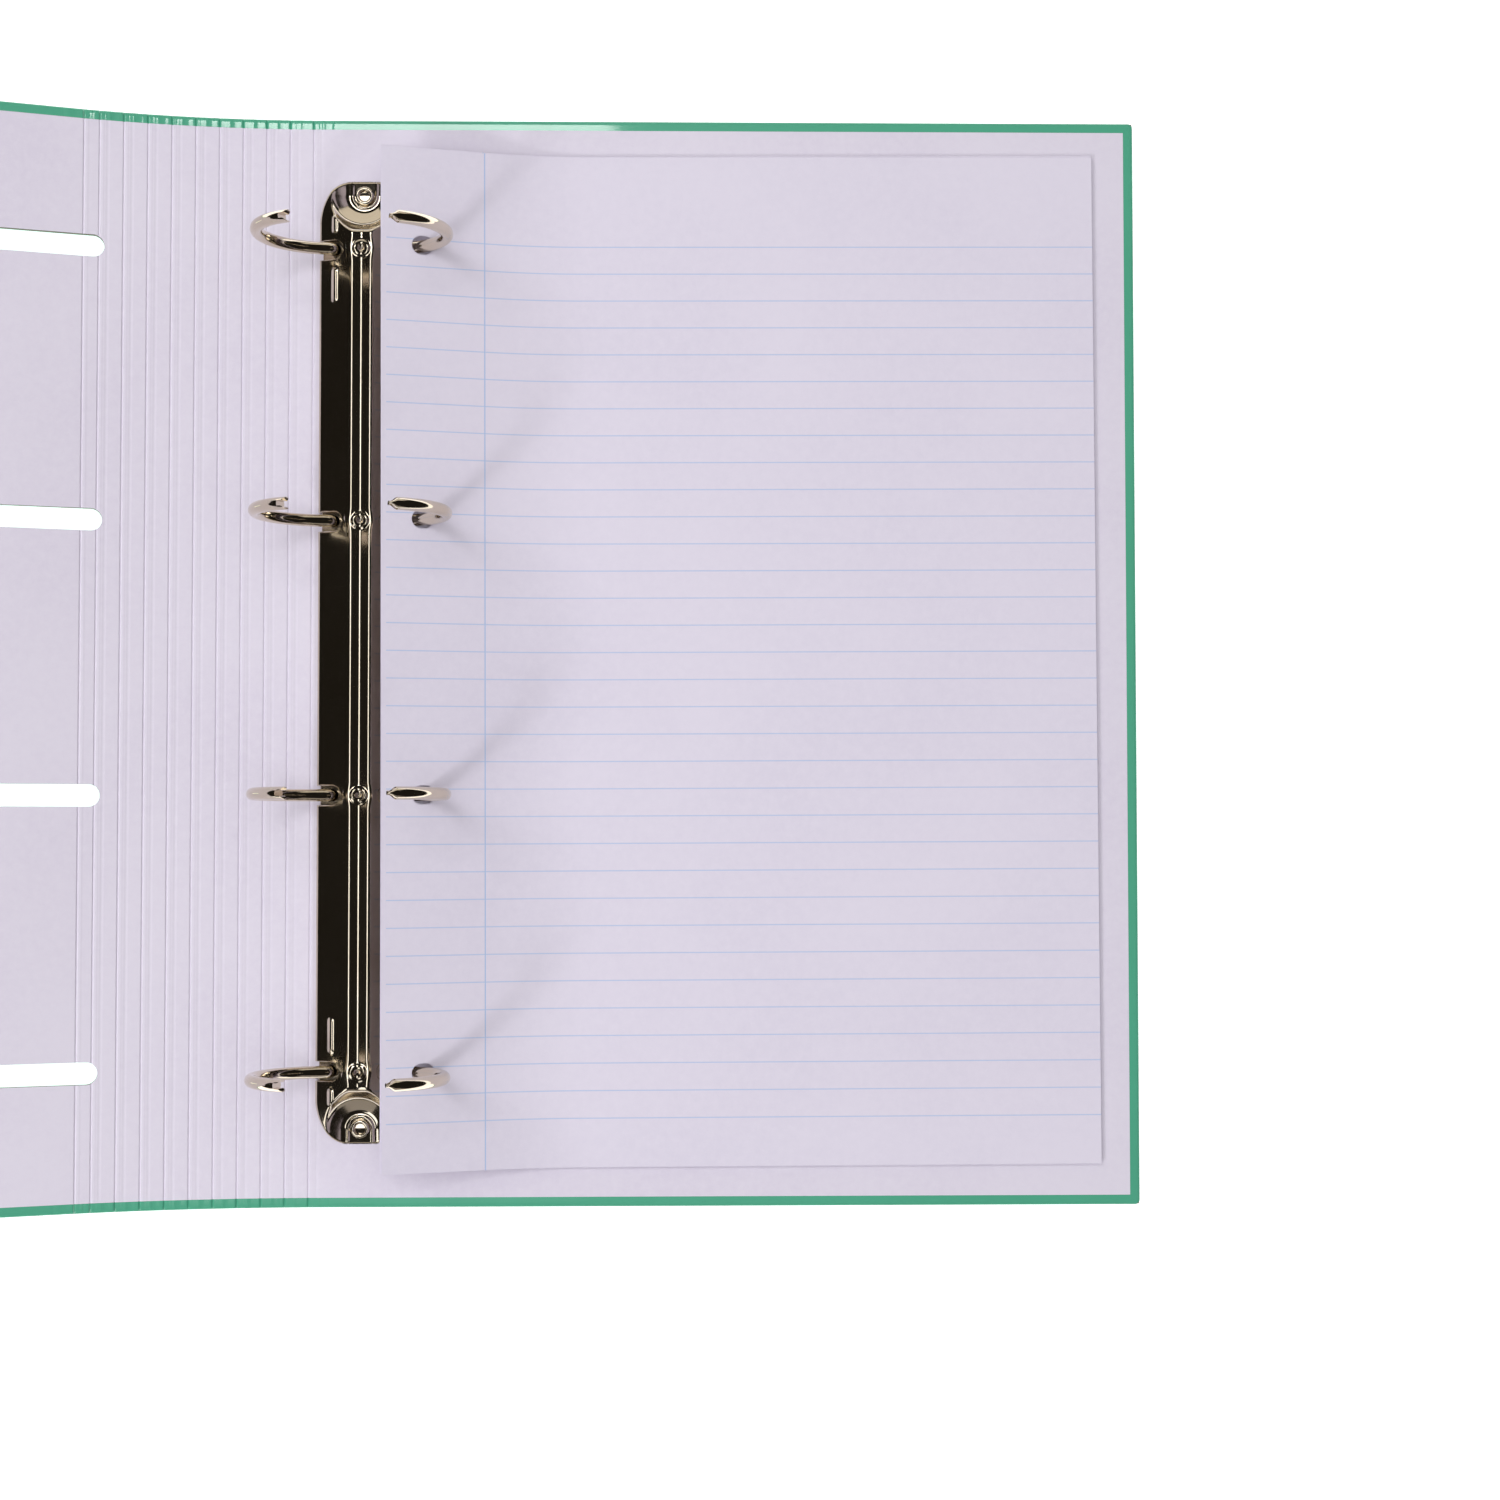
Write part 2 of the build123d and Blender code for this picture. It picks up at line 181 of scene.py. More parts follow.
@dataclass(frozen=True)
class GreenLaminate(Finish):
    """Printed paper under a gloss film: deep even colour below a mirror-like, faintly rippled skin."""

    name: str = "green_gloss_laminated_paper"
    colour: str = "#4FAC8C"
    shade: str = "#48A383"
    mottle_mm: float = 40.0
    ripple_mm: float = 5.0
    ripple_depth_mm: float = 0.04

    def steps(self) -> dict[str, tuple]:
        """Mottled ink under a coat whose relief ripples.

        Returns:
            The nodes.
        """
        return {
            # Ink laid down by offset printing varies a little over a few centimetres.
            "mottle": ("TexNoise", {
                "Vector": SPOT, "Scale": 1000 / self.mottle_mm, "Detail": 4.0, "Roughness": 0.6,
            }),
            "tint": ("Mix", {
                0: Out("mottle"), 6: linear(self.colour), 7: linear(self.shade),
            }, {"data_type": "RGBA"}),
            # The film follows the board's slight waviness, so reflections wander.
            "ripple": ("TexNoise", {
                "Vector": SPOT, "Scale": 1000 / self.ripple_mm, "Detail": 1.0,
            }),
            "relief": ("Bump", {
                "Height": Out("ripple"), "Strength": 0.35,
                "Distance": self.ripple_depth_mm * METRES,
            }),
            "skin": ("BsdfPrincipled", {
                "Base Color": Out("tint", 2), "Roughness": 0.42, "IOR": 1.5, "Coat Weight": 1.0,
                "Coat Roughness": 0.05, "Coat IOR": 1.62, "Normal": Out("relief"),
            }),
        }


@dataclass(frozen=True)
class LiningPaper(Finish):
    """Smooth uncoated lining paper with a cool white tone: matt, with soft fibre flecks."""

    name: str = "pale_uncoated_lining_paper"
    colour: str = "#DED8E6"
    fleck: str = "#D8D1E1"
    fleck_mm: float = 2.5
    cloud_mm: float = 60.0
    tooth_mm: float = 0.7
    tooth_depth_mm: float = 0.03
    roughness: float = 0.62

    def printing(self) -> dict[str, tuple]:
        """Nodes of what is printed on the paper, the last one named "page": none here."""
        return {}

    def steps(self) -> dict[str, tuple]:
        """Two tones mixed by large clouds and small flecks, the print, and the paper's tooth.

        Returns:
            The nodes.
        """
        printing = self.printing()
        return {
            "cloud": ("TexNoise", {"Vector": SPOT, "Scale": 1000 / self.cloud_mm, "Detail": 3.0}),
            "fibre": ("TexNoise", {
                "Vector": SPOT, "Scale": 1000 / self.fleck_mm, "Detail": 5.0, "Roughness": 0.7,
            }),
            "both": ("Math", {0: Out("cloud"), 1: Out("fibre")}, {"operation": "MULTIPLY"}),
            "share": ("MapRange", {"Value": Out("both"), "From Min": 0.15, "From Max": 0.4}),
            "tint": ("Mix", {
                0: Out("share"), 6: linear(self.colour), 7: linear(self.fleck),
            }, {"data_type": "RGBA"}),
            **printing,
            # Paper tooth is about 0.1 mm; it is drawn coarser so that it shows at all.
            "tooth": ("TexNoise", {"Vector": SPOT, "Scale": 1000 / self.tooth_mm, "Detail": 3.0}),
            "relief": ("Bump", {
                "Height": Out("tooth"), "Strength": 0.12, "Distance": self.tooth_depth_mm * METRES,
            }),
            "skin": ("BsdfPrincipled", {
                "Base Color": Out("page" if printing else "tint", 2), "Roughness": self.roughness,
                "IOR": 1.47, "Specular IOR Level": 0.35, "Normal": Out("relief"),
            }),
        }


@dataclass(frozen=True)
class RuledPaper(LiningPaper):
    """Writing paper printed with pale blue rules 8 mm apart and a margin line.

    The piece's UV map holds the distance in millimetres from the punched edge, and the number of
    rule spacings below the first rule.
    """

    name: str = "ruled_writing_paper"
    colour: str = "#DFD9E8"
    fleck: str = "#DAD4E4"
    roughness: float = 0.7
    ink: str = "#A9BEE4"
    rule_mm: float = 8.0
    line_mm: float = 0.32
    line_strength: float = 0.7
    rules: int = 33
    margin_mm: float = 30.0
    start_mm: float = 1.2

    def printing(self) -> dict[str, tuple]:
        """Works out the printed lines.

        A rule is where the spacings' distance to the nearest whole number is under half a line,
        from the first rule to the last and past the start. The margin is a band of one line.

        Returns:
            The nodes.
        """
        across, down = Out("parts", 0), Out("parts", 1)
        middle, half_line = (self.rules - 1) / 2, self.line_mm / 2
        maths = {
            "nearest": ("ROUND", down),
            "off_rule": ("SUBTRACT", down, Out("nearest")),
            "on_rule": ("COMPARE", Out("off_rule"), 0.0, half_line / self.rule_mm),
            "on_page": ("COMPARE", down, middle, middle + 0.5),
            "begun": ("GREATER_THAN", across, self.start_mm),
            "page_rule": ("MULTIPLY", Out("on_rule"), Out("on_page")),
            "rule": ("MULTIPLY", Out("page_rule"), Out("begun")),
            "margin": ("COMPARE", across, self.margin_mm, half_line),
            "faint": ("MULTIPLY", Out("rule"), self.line_strength),
            "strength": ("MAXIMUM", Out("faint"), Out("margin")),
        }
        return {
            "sheet": ("UVMap", {}, {"uv_map": "sheet"}),
            "parts": ("SeparateXYZ", {0: Out("sheet")}),
            **{
                name: ("Math", dict(enumerate(values)), {"operation": operation})
                for name, (operation, *values) in maths.items()
            },
            "page": ("Mix", {
                0: Out("strength"), 6: Out("tint", 2), 7: linear(self.ink),
            }, {"data_type": "RGBA"}),
        }


@dataclass(frozen=True)
class GreyBoard(Finish):
    """Recycled grey board, cut by a die: rough brown-grey layers with darker fibres."""

    name: str = "die_cut_grey_board"
    colour: str = "#938A7F"
    fibre: str = "#70675D"
    fibre_mm: float = 1.0
    layer_share: float = 0.2
    fibre_depth_mm: float = 0.1

    def steps(self) -> dict[str, tuple]:
        """Fibres that lie in layers, in two tones and in relief.

        Returns:
            The nodes.
        """
        return {
            # Layers of pulp lie flat, so the pattern is squeezed in height.
            "flat": ("Mapping", {"Vector": SPOT, "Scale": (1.0, 1.0, 1 / self.layer_share)}),
            "fibre": ("TexNoise", {
                "Vector": Out("flat"), "Scale": 1000 / self.fibre_mm, "Detail": 6.0,
                "Roughness": 0.75,
            }),
            "tint": ("Mix", {
                0: Out("fibre"), 6: linear(self.colour), 7: linear(self.fibre),
            }, {"data_type": "RGBA"}),
            "relief": ("Bump", {
                "Height": Out("fibre"), "Strength": 0.5, "Distance": self.fibre_depth_mm * METRES,
            }),
            "skin": ("BsdfPrincipled", {
                "Base Color": Out("tint", 2), "Roughness": 0.9, "IOR": 1.47,
                "Normal": Out("relief"),
            }),
        }


@dataclass(frozen=True)
class NickelPlate(Finish):
    """Bright nickel over steel: a warm mirror, a little hazy where it was pressed or rubbed."""

    colour: str = "#E6DCCB"
    tarnish: str = "#CDBFA8"
    roughness: float = 0.11
    haze: float = 0.05
    drawn: tuple[float, float, float] = (1.0, 0.05, 1.0)
    cloud_mm: float = 14.0
    line_mm: float = 0.4
    wave_depth_mm: float = 0.1

    def steps(self) -> dict[str, tuple]:
        """A clouded tint and gentle waves, with the roughness in fine lines.

        Returns:
            The nodes.
        """
        return {
            "cloud": ("TexNoise", {"Vector": SPOT, "Scale": 1000 / self.cloud_mm, "Detail": 1.0}),
            "tint": ("Mix", {
                0: Out("cloud"), 6: linear(self.colour), 7: linear(self.tarnish),
            }, {"data_type": "RGBA"}),
            # Rolling and drawing leave fine lines, many times longer than wide.
            "stretched": ("Mapping", {"Vector": SPOT, "Scale": self.drawn}),
            "line": ("TexNoise", {
                "Vector": Out("stretched"), "Scale": 1000 / self.line_mm, "Detail": 3.0,
            }),
            "blur": ("MapRange", {
                "Value": Out("line"), "To Min": self.roughness - self.haze / 2,
                "To Max": self.roughness + self.haze,
            }),
            "relief": ("Bump", {
                "Height": Out("cloud"), "Strength": 0.2, "Distance": self.wave_depth_mm * METRES,
            }),
            "skin": ("BsdfPrincipled", {
                "Base Color": Out("tint", 2), "Metallic": 1.0, "Roughness": Out("blur"),
                "Normal": Out("relief"),
            }),
        }


@dataclass(frozen=True)
class TableBoard(Finish):
    """White table top that glows a little, so that it shows as plain white."""

    name: str = "white_table_board"
    glow: float = 0.8

    def steps(self) -> dict[str, tuple]:
        """Two near whites in wide clouds.

        Returns:
            The nodes.
        """
        return {
            "cloud": ("TexNoise", {"Vector": SPOT, "Scale": 3.0, "Detail": 2.0}),
            "tint": ("Mix", {
                0: Out("cloud"), 6: linear("#FFFFFF"), 7: linear("#FCFCFD"),
            }, {"data_type": "RGBA"}),
            "skin": ("BsdfPrincipled", {
                "Base Color": Out("tint", 2), "Roughness": 0.8, "Specular IOR Level": 0.1,
                "Emission Color": (1.0, 1.0, 1.0, 1.0), "Emission Strength": self.glow,
            }),
        }


# ---------------------------------------------------------------------------
# Surfaces
# ---------------------------------------------------------------------------
@dataclass(frozen=True)
class Cutout:
    """A hole with round ends through a grid surface, lengthwise along the grid's columns."""

    centre: float
    start: float
    end: float
    radius: float

    def half_width(self, along: np.ndarray) -> np.ndarray:
        """Half the hole's width at each column: sqrt(r^2 - depth^2) in the round ends, else r.

        Args:
            along: column positions.

        Returns:
            Half widths, zero outside the hole.
        """
        depth = np.maximum(self.start + self.radius - along, along - self.end + self.radius)
        depth = np.clip(depth, 0, self.radius)
        inside = (along > self.start) & (along < self.end)
        return np.where(inside, np.sqrt(self.radius**2 - depth**2), 0.0)

    def columns(self) -> np.ndarray:
        """Column positions that make both ends round: r (1 - cos a) in from each end."""
        steps = self.radius * (1 - np.cos(np.linspace(0, math.pi / 2, 9)))
        return np.concatenate([self.start + steps, self.end - steps])


def even_columns(low: float, high: float, *groups: np.ndarray) -> np.ndarray:
    """Sorts column positions between two ends, without repeats.

    Args:
        low: first column.
        high: last column.
        groups: arrays of further positions, some perhaps outside.

    Returns:
        The positions, ascending.
    """
    every = np.unique(np.round(np.concatenate(groups), 4))
    inner = every[(every > low + 1e-3) & (every < high - 1e-3)]
    return np.concatenate([[low], inner, [high]])


def lay_rows(
    base: np.ndarray, along: np.ndarray, cutouts: list[Cutout]
) -> tuple[np.ndarray, np.ndarray]:
    """Bends evenly laid rows round a set of holes.

    Between two neighbouring holes, a row that stood at share q of the way from one centre to the
    next is moved to share q of the way from one hole's edge to the next one's.

    Args:
        base: row positions, ascending.
        along: column positions.
        cutouts: the holes.

    Returns:
        Row position for each column and row, and which cells are kept.
    """
    ordered = sorted(cutouts, key=lambda cut: cut.centre)
    centres = [base[0], *(cut.centre for cut in ordered), base[-1]]
    halves = [np.zeros_like(along), *(cut.half_width(along) for cut in ordered)]
    halves.append(np.zeros_like(along))
    rows, gaps = [], []
    for number in range(len(centres) - 1):
        low, high = centres[number], centres[number + 1]
        inner = base[(base > low + 1e-6) & (base < high - 1e-6)]
        share = (np.concatenate([[low], inner, [high]]) - low) / (high - low)
        bottom, top = low + halves[number], high - halves[number + 1]
        rows.append(bottom[:, None] + (top - bottom)[:, None] * share[None, :])
        gaps.append(sum(block.shape[1] for block in rows) - 1)
    across = np.concatenate(rows, axis=1)
    kept = np.ones((along.size - 1, across.shape[1] - 1), bool)
    for gap, half in zip(gaps[:-1], halves[1:-1]):
        kept[:, gap] = (half[:-1] <= 0) & (half[1:] <= 0)
    return across, kept


def grid_faces(kept: np.ndarray) -> np.ndarray:
    """Faces of one grid, its points counted column by column.

    Args:
        kept: which cells are there.

    Returns:
        Four corner numbers of each kept cell.
    """
    index = np.arange((kept.shape[0] + 1) * (kept.shape[1] + 1))
    index = index.reshape(kept.shape[0] + 1, kept.shape[1] + 1)
    corners = [index[:-1, :-1], index[1:, :-1], index[1:, 1:], index[:-1, 1:]]
    return np.stack(corners, axis=-1)[kept]


def shell_faces(kept: np.ndarray) -> np.ndarray:
    """Faces of a closed sheet made of two grids, the second one numbered after the first.

    A wall joins the grids wherever a kept cell has no kept neighbour.

    Args:
        kept: which cells are there.

    Returns:
        Corner numbers of every face.
    """
    columns, rows = kept.shape[0] + 1, kept.shape[1] + 1
    index = np.arange(columns * rows).reshape(columns, rows)
    corner_a, corner_b = index[:-1, :-1], index[1:, :-1]
    corner_c, corner_d = index[1:, 1:], index[:-1, 1:]
    top = grid_faces(kept)
    framed = np.pad(kept, 1)
    sides = (
        (corner_a, corner_b, framed[1:-1, :-2]),
        (corner_b, corner_c, framed[2:, 1:-1]),
        (corner_c, corner_d, framed[1:-1, 2:]),
        (corner_d, corner_a, framed[:-2, 1:-1]),
    )
    below = columns * rows
    walls = [
        np.stack([far[edge], near[edge], near[edge] + below, far[edge] + below], axis=-1)
        for near, far, neighbour in sides
        for edge in [kept & ~neighbour]
    ]
    return np.concatenate([top, top[:, ::-1] + below, *walls])


def tube_faces(stations: int, around: int) -> np.ndarray:
    """Faces of a tube: its stations are joined in order, and each station closes on itself.

    Args:
        stations: how many outlines it has.
        around: how many points each outline has.

    Returns:
        Corner numbers of every face.
    """
    index = np.arange(stations * around).reshape(stations, around)
    turned = np.roll(index, -1, axis=1)
    corners = [index[:-1], turned[:-1], turned[1:], index[1:]]
    return np.stack(corners, axis=-1).reshape(-1, 4)


def section_normals(section: np.ndarray) -> np.ndarray:
    """Unit normals of an open section, its direction turned a quarter to the left.

    Args:
        section: its points, two values each.

    Returns:
        A normal for each point.
    """
    run = np.gradient(section, axis=0)
    turned = np.stack([-run[:, 1], run[:, 0]], axis=-1)
    return turned / np.linalg.norm(turned, axis=1, keepdims=True)


def smooth_step(value: np.ndarray) -> np.ndarray:
    """3 t^2 - 2 t^3 of the value, held between 0 and 1."""
    held = np.clip(value, 0, 1)
    return held * held * (3 - 2 * held)


def bump(distance: np.ndarray, reach: float) -> np.ndarray:
    """A round hump: 1 at distance 0, falling by half a cosine to 0 at the reach."""
    return 0.5 + 0.5 * np.cos(math.pi * np.clip(np.abs(distance) / reach, 0, 1))


def eased(value: np.ndarray, reach: float) -> np.ndarray:
    """The value where positive and else 0, its corner rounded by the parabola (v + r)^2 / 4r."""
    near = (np.clip(value, -reach, reach) + reach) ** 2 / (4 * reach)
    return near + np.maximum(value - reach, 0)


@dataclass
class Surface:
    """Points and faces of one piece, gathered part by part in millimetres."""

    points: list[np.ndarray] = field(default_factory=list)
    faces: list[np.ndarray] = field(default_factory=list)
    marks: list[np.ndarray] = field(default_factory=list)

    def add(self, points: np.ndarray, faces: np.ndarray, marks: np.ndarray | None = None) -> None:
        """Adds one part.

        Args:
            points: its points, whatever the array's shape, with x, y, z last.
            faces: its faces, numbered from 0.
            marks: two sheet coordinates for each point, if the piece has them.
        """
        before = sum(len(part) for part in self.points)
        self.points.append(points.reshape(-1, 3))
        self.faces.append(faces + before)
        if marks is not None:
            self.marks.append(marks.reshape(-1, 2))

    def add_tube(self, points: np.ndarray) -> None:
        """Adds outlines joined in order, the points' first two axes being station and outline."""
        self.add(points, tube_faces(*points.shape[:2]))

    def piece(
        self, name: str, material: bpy.types.Material, slot: str, closed: bool = True,
        sharp: float = 38.0,
    ) -> bpy.types.Object:
        """Makes the mesh object.

        Args:
            name: the piece's name.
            material: its finish.
            slot: name of the record's material slot; not used.
            closed: whether the surface closes, so its faces can be turned outwards.
            sharp: angle in degrees past which an edge shows as an edge.

        Returns:
            The object, at the origin.
        """
        mesh = bpy.data.meshes.new(name)
        faces = np.concatenate(self.faces)
        mesh.from_pydata((np.concatenate(self.points) * METRES).tolist(), [], faces.tolist())
        if self.marks:
            layer = mesh.uv_layers.new(name="sheet")
            corners = np.empty(len(mesh.loops), np.int32)
            mesh.loops.foreach_get("vertex_index", corners)
            layer.data.foreach_set("uv", np.concatenate(self.marks)[corners].ravel())
        work = bmesh.new()
        work.from_mesh(mesh)
        spare = [vertex for vertex in work.verts if not vertex.link_faces]
        bmesh.ops.delete(work, geom=spare, context="VERTS")
        bmesh.ops.remove_doubles(work, verts=work.verts, dist=MERGE)
        if closed:
            bmesh.ops.recalc_face_normals(work, faces=work.faces)
        work.to_mesh(mesh)
        work.free()
        mesh.shade_smooth()
        mesh.set_sharp_from_angle(angle=math.radians(sharp))
        mesh.materials.append(material)
        made = bpy.data.objects.new(name, mesh)
        bpy.context.scene.collection.objects.link(made)
        log.info("%s: %d faces", name, len(mesh.polygons))
        return made


# ---------------------------------------------------------------------------
# Covers and spine
# ---------------------------------------------------------------------------
@dataclass
class Crease:
    """One folding line of the spine, with a panel to its right and one to its left."""

    number: int
    x: float
    z: float
    right_tilt: float
    left_tilt: float
    right_reach: float
    left_reach: float
    right_body: str
    left_body: str
    bend_reach: float = 0.4
    blend_reach: float = 0.45

    def place(self, along: np.ndarray, across: np.ndarray, height: np.ndarray) -> np.ndarray:
        """Points of the fold: pivot + s (cos t, -sin t) + h (sin t, cos t) in X and Z.

        The tilt t goes from the left panel's to the right panel's within the bend's reach.

        Args:
            along: distance s to the right of the pivot.
            across: Y.
            height: distance h above the outer face.

        Returns:
            The points.
        """
        along, across, height = np.broadcast_arrays(along, across, height)
        share = smooth_step((along + self.bend_reach) / (2 * self.bend_reach))
        turn = self.left_tilt + (self.right_tilt - self.left_tilt) * share
        x = self.x + along * np.cos(turn) + height * np.sin(turn)
        z = self.z - along * np.sin(turn) + height * np.cos(turn)
        return np.stack([x, across, z], axis=-1)

    def blend(self, piece: bpy.types.Object) -> None:
        """Bakes a piece's placement into its mesh; the piece does not bend across the fold.

        Args:
            piece: lining or wrap of the fold.
        """
        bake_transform(piece)


@dataclass
class Panel:
    """A flat cover: where it starts, its tilt, and whether it runs right (1) or left (-1)."""

    name: str
    body: str
    x: float
    z: float
    tilt: float
    way: int

    def place(self, along: np.ndarray, across: np.ndarray, height: np.ndarray) -> np.ndarray:
        """Points of the panel: start + s (cos t, sin t) + h (sin t, cos t) in X and Z.

        Args:
            along: distance s from the crease.
            across: Y.
            height: distance h above the outer face.

        Returns:
            The points.
        """
        along, across, height = np.broadcast_arrays(along, across, height)
        x = self.x + self.way * along * math.cos(self.tilt) + height * math.sin(self.tilt)
        z = self.z + along * math.sin(self.tilt) + height * math.cos(self.tilt)
        return np.stack([x, across, z], axis=-1)


@dataclass
class Cover:
    """The case of the binder: green wrap turned in over the board's edges, and a pale lining."""

    wrap_finish: bpy.types.Material
    lining_finish: bpy.types.Material
    width: float
    half_height: float
    thickness: float
    mechanism: float
    ring_rows: tuple[float, ...]
    rivet_row: float
    panels: list[Panel]
    creases: list[Crease]
    film: float = 0.24
    turned_in: float = 2.95
    turned_in_drop: float = 0.07
    edge_radius: float = 0.75
    corner_radius: float = 1.4
    flat_margin: float = 6.0
    lining_hole_radius: float = 2.3
    wrap_hole_radius: float = 4.05
    slot_radius: float = 3.25
    slot_end_front: float = 42.0
    slot_end_spine: float = 1.6
    groove_depth: float = 0.27
    groove_half_width: float = 0.4
    lip_height: float = 0.045
    lip_from_crease: float = 0.95
    lip_reach: float = 0.6
    second_groove: float = 2.35
    second_depth: float = 0.065
    second_reach: float = 0.75
    wrap_share: float = 0.8
    turn_steepness: float = 1.25
    outer_level: float = 0.3
    press_outside: float = 0.07
    press_reach: float = 0.9
    band_ripple: float = 0.08
    ripple_pitch: float = 3.45

    def embossing(self, crease: Crease, along: np.ndarray) -> np.ndarray:
        """Depth pressed into the inner face across one crease.

        A V of the groove's depth at the crease, a low hump just to its right, and where the
        strip is wide enough a second, shallow round groove beyond.

        Args:
            crease: the folding line.
            along: distance to the right of it.

        Returns:
            Depths below the flat face.
        """
        sharp = np.clip(1 - np.abs(along) / self.groove_half_width, 0, 1) * self.groove_depth
        hump = self.lip_height * bump(along - self.lip_from_crease, self.lip_reach)
        second = self.second_depth * bump(along - self.second_groove, self.second_reach)
        wide = crease.right_reach > self.second_groove + 0.7
        return sharp - hump + (second if wide else 0)

    def edge_section(self, reach: float) -> np.ndarray:
        """Section of the wrap round a free edge.

        It starts at the turned-in end on the inner face, goes out to the edge, round two
        quarter circles, and in along the outer face.

        Args:
            reach: how far the outer face runs in from the edge.

        Returns:
            Distance in from the edge, and height, for each point.
        """
        angles = np.linspace(0, math.pi / 2, 6)
        radius, top = self.edge_radius, self.thickness - self.turned_in_drop
        upper = np.stack(
            [radius - radius * np.sin(angles), top - radius + radius * np.cos(angles)], axis=-1
        )
        lower = np.stack(
            [radius - radius * np.cos(angles), radius - radius * np.sin(angles)], axis=-1
        )
        lip = [[self.turned_in, top], [self.turned_in / 2, top]]
        return np.concatenate([lip, upper, lower, [[reach, 0.0]]])

    def ring_slots(self, start: float, end: float) -> list[Cutout]:
        """The slots that the rings pass through when the binder is shut, from start to end."""
        return [Cutout(row, start, end, self.slot_radius) for row in self.ring_rows]

    def crease_slots(self, crease: Crease) -> list[Cutout]:
        """The ring slots as they cross one crease, in its own distances to the right.

        Args:
            crease: the folding line.

        Returns:
            The slots, none for a crease that the rings do not reach.
        """
        last = len(self.creases)
        if crease.number == last:
            return self.ring_slots(-FAR, FAR)
        if crease.number == last - 1:
            return self.ring_slots(-FAR, self.slot_end_spine)
        return []

    def crease_columns(self, crease: Crease, slots: list[Cutout]) -> np.ndarray:
        """Distances at which the fold's surface is worked out: close set at every pressed line.

        Args:
            crease: the folding line.
            slots: slots that cross it.

        Returns:
            Distances to the right, ascending.
        """
        groove = np.array([-1.4, -1, -0.8, -0.6, -0.3, -0.2, 0, 0.2, 0.3, 0.6, 0.8, 1])
        wave = np.linspace(0.35, self.second_groove + 0.85, 18)
        even = np.linspace(-crease.left_reach, crease.right_reach, 9)
        ends = [slot.columns() for slot in slots[:1]]
        return even_columns(
            -crease.left_reach, crease.right_reach, groove * self.groove_half_width, wave, even,
            *ends,
        )

    def fold_lining(self, crease: Crease) -> bpy.types.Object:
        """Makes the lining across one crease, from mid-strip to mid-strip.

        Args:
            crease: the folding line.

        Returns:
            The piece.
        """
        slots = self.crease_slots(crease)
        along = self.crease_columns(crease, slots)
        edge = self.half_height - self.turned_in
        across, kept = lay_rows(np.linspace(-edge, edge, 9), along, slots)
        top = self.thickness - self.embossing(crease, along)[:, None]
        layers = [
            crease.place(along[:, None], across, top - drop) for drop in (0.0, self.film)
        ]
        surface = Surface()
        surface.add(np.stack(layers), shell_faces(kept))
        return surface.piece(f"lining_fold_{crease.number}", self.lining_finish, "lining")

    def fold_wrap(self, crease: Crease) -> bpy.types.Object:
        """Makes the wrap across one crease, with its turned-in edges.

        The turned-in part follows the pressed lines by the wrap's share and waves by a sine; the
        outer face is pressed in under the crease.

        Args:
            crease: the folding line.

        Returns:
            The piece.
        """
        slots = self.crease_slots(crease)
        along = self.crease_columns(crease, slots)
        section = self.edge_section(self.edge_radius + 1)
        inner = section + self.film * section_normals(section)
        flat = self.half_height - section[-1, 0]
        across, kept = lay_rows(np.linspace(-flat, flat, 9), along, slots)
        ripple = self.band_ripple * np.sin(along * 2 * math.pi / self.ripple_pitch)
        pressed = self.embossing(crease, along) * self.wrap_share + ripple
        outside = self.press_outside * bump(along, self.press_reach)
        layers = []
        for line, height in ((section, 0.0), (inner, self.film)):
            high = np.clip((line[:-1, 1] - self.thickness / 2) / (self.thickness / 2), 0, 1)
            high = smooth_step(high * self.turn_steepness)
            low = line[:-1, 1] < self.outer_level
            edge_height = line[:-1, 1] - pressed[:, None] * high + outside[:, None] * low
            rise = np.broadcast_to(outside[:, None] + height, across.shape)
            y = self.half_height - line[:-1, 0]
            sides = np.broadcast_to(y, edge_height.shape)
            layers.append(
                crease.place(
                    along[:, None],
                    np.concatenate([-sides, across, sides[:, ::-1]], axis=1),
                    np.concatenate([edge_height, rise, edge_height[:, ::-1]], axis=1),
                )
            )
        margin = np.ones((kept.shape[0], len(section) - 1), bool)
        surface = Surface()
        surface.add(np.stack(layers), shell_faces(np.concatenate([margin, kept, margin], axis=1)))
        return surface.piece(f"wrap_fold_{crease.number}", self.wrap_finish, "outer_wrap")

    def flat_sheet(
        self, panel: Panel, holes: list[Cutout], margin: float, heights: tuple[float, float]
    ) -> tuple[np.ndarray, np.ndarray]:
        """Works out one thin sheet of a flat cover.

        Args:
            panel: the flat cover.
            holes: its holes.
            margin: how far it stays in from the free edges.
            heights: its two faces above the outer face.

        Returns:
            Points and faces of the closed sheet.
        """
        edge = self.half_height - margin
        ends = [hole.columns() for hole in holes[:1]]
        even = np.linspace(0, self.width, 25)
        along = even_columns(self.flat_margin, self.width - margin, even, *ends)
        across, kept = lay_rows(np.linspace(-edge, edge, 17), along, holes)
        layers = [panel.place(along[:, None], across, np.array(height)) for height in heights]
        return np.stack(layers), shell_faces(kept)

    def flat_lining(self, panel: Panel, holes: list[Cutout]) -> bpy.types.Object:
        """Makes the lining of one flat cover, short of its edges so that the wrap shows.

        Args:
            panel: the flat cover.
            holes: its holes.

        Returns:
            The piece.
        """
        heights = (self.thickness, self.thickness - self.film)
        surface = Surface()
        surface.add(*self.flat_sheet(panel, holes, self.turned_in, heights))
        return surface.piece(f"{panel.name}_inner_lining", self.lining_finish, "lining")

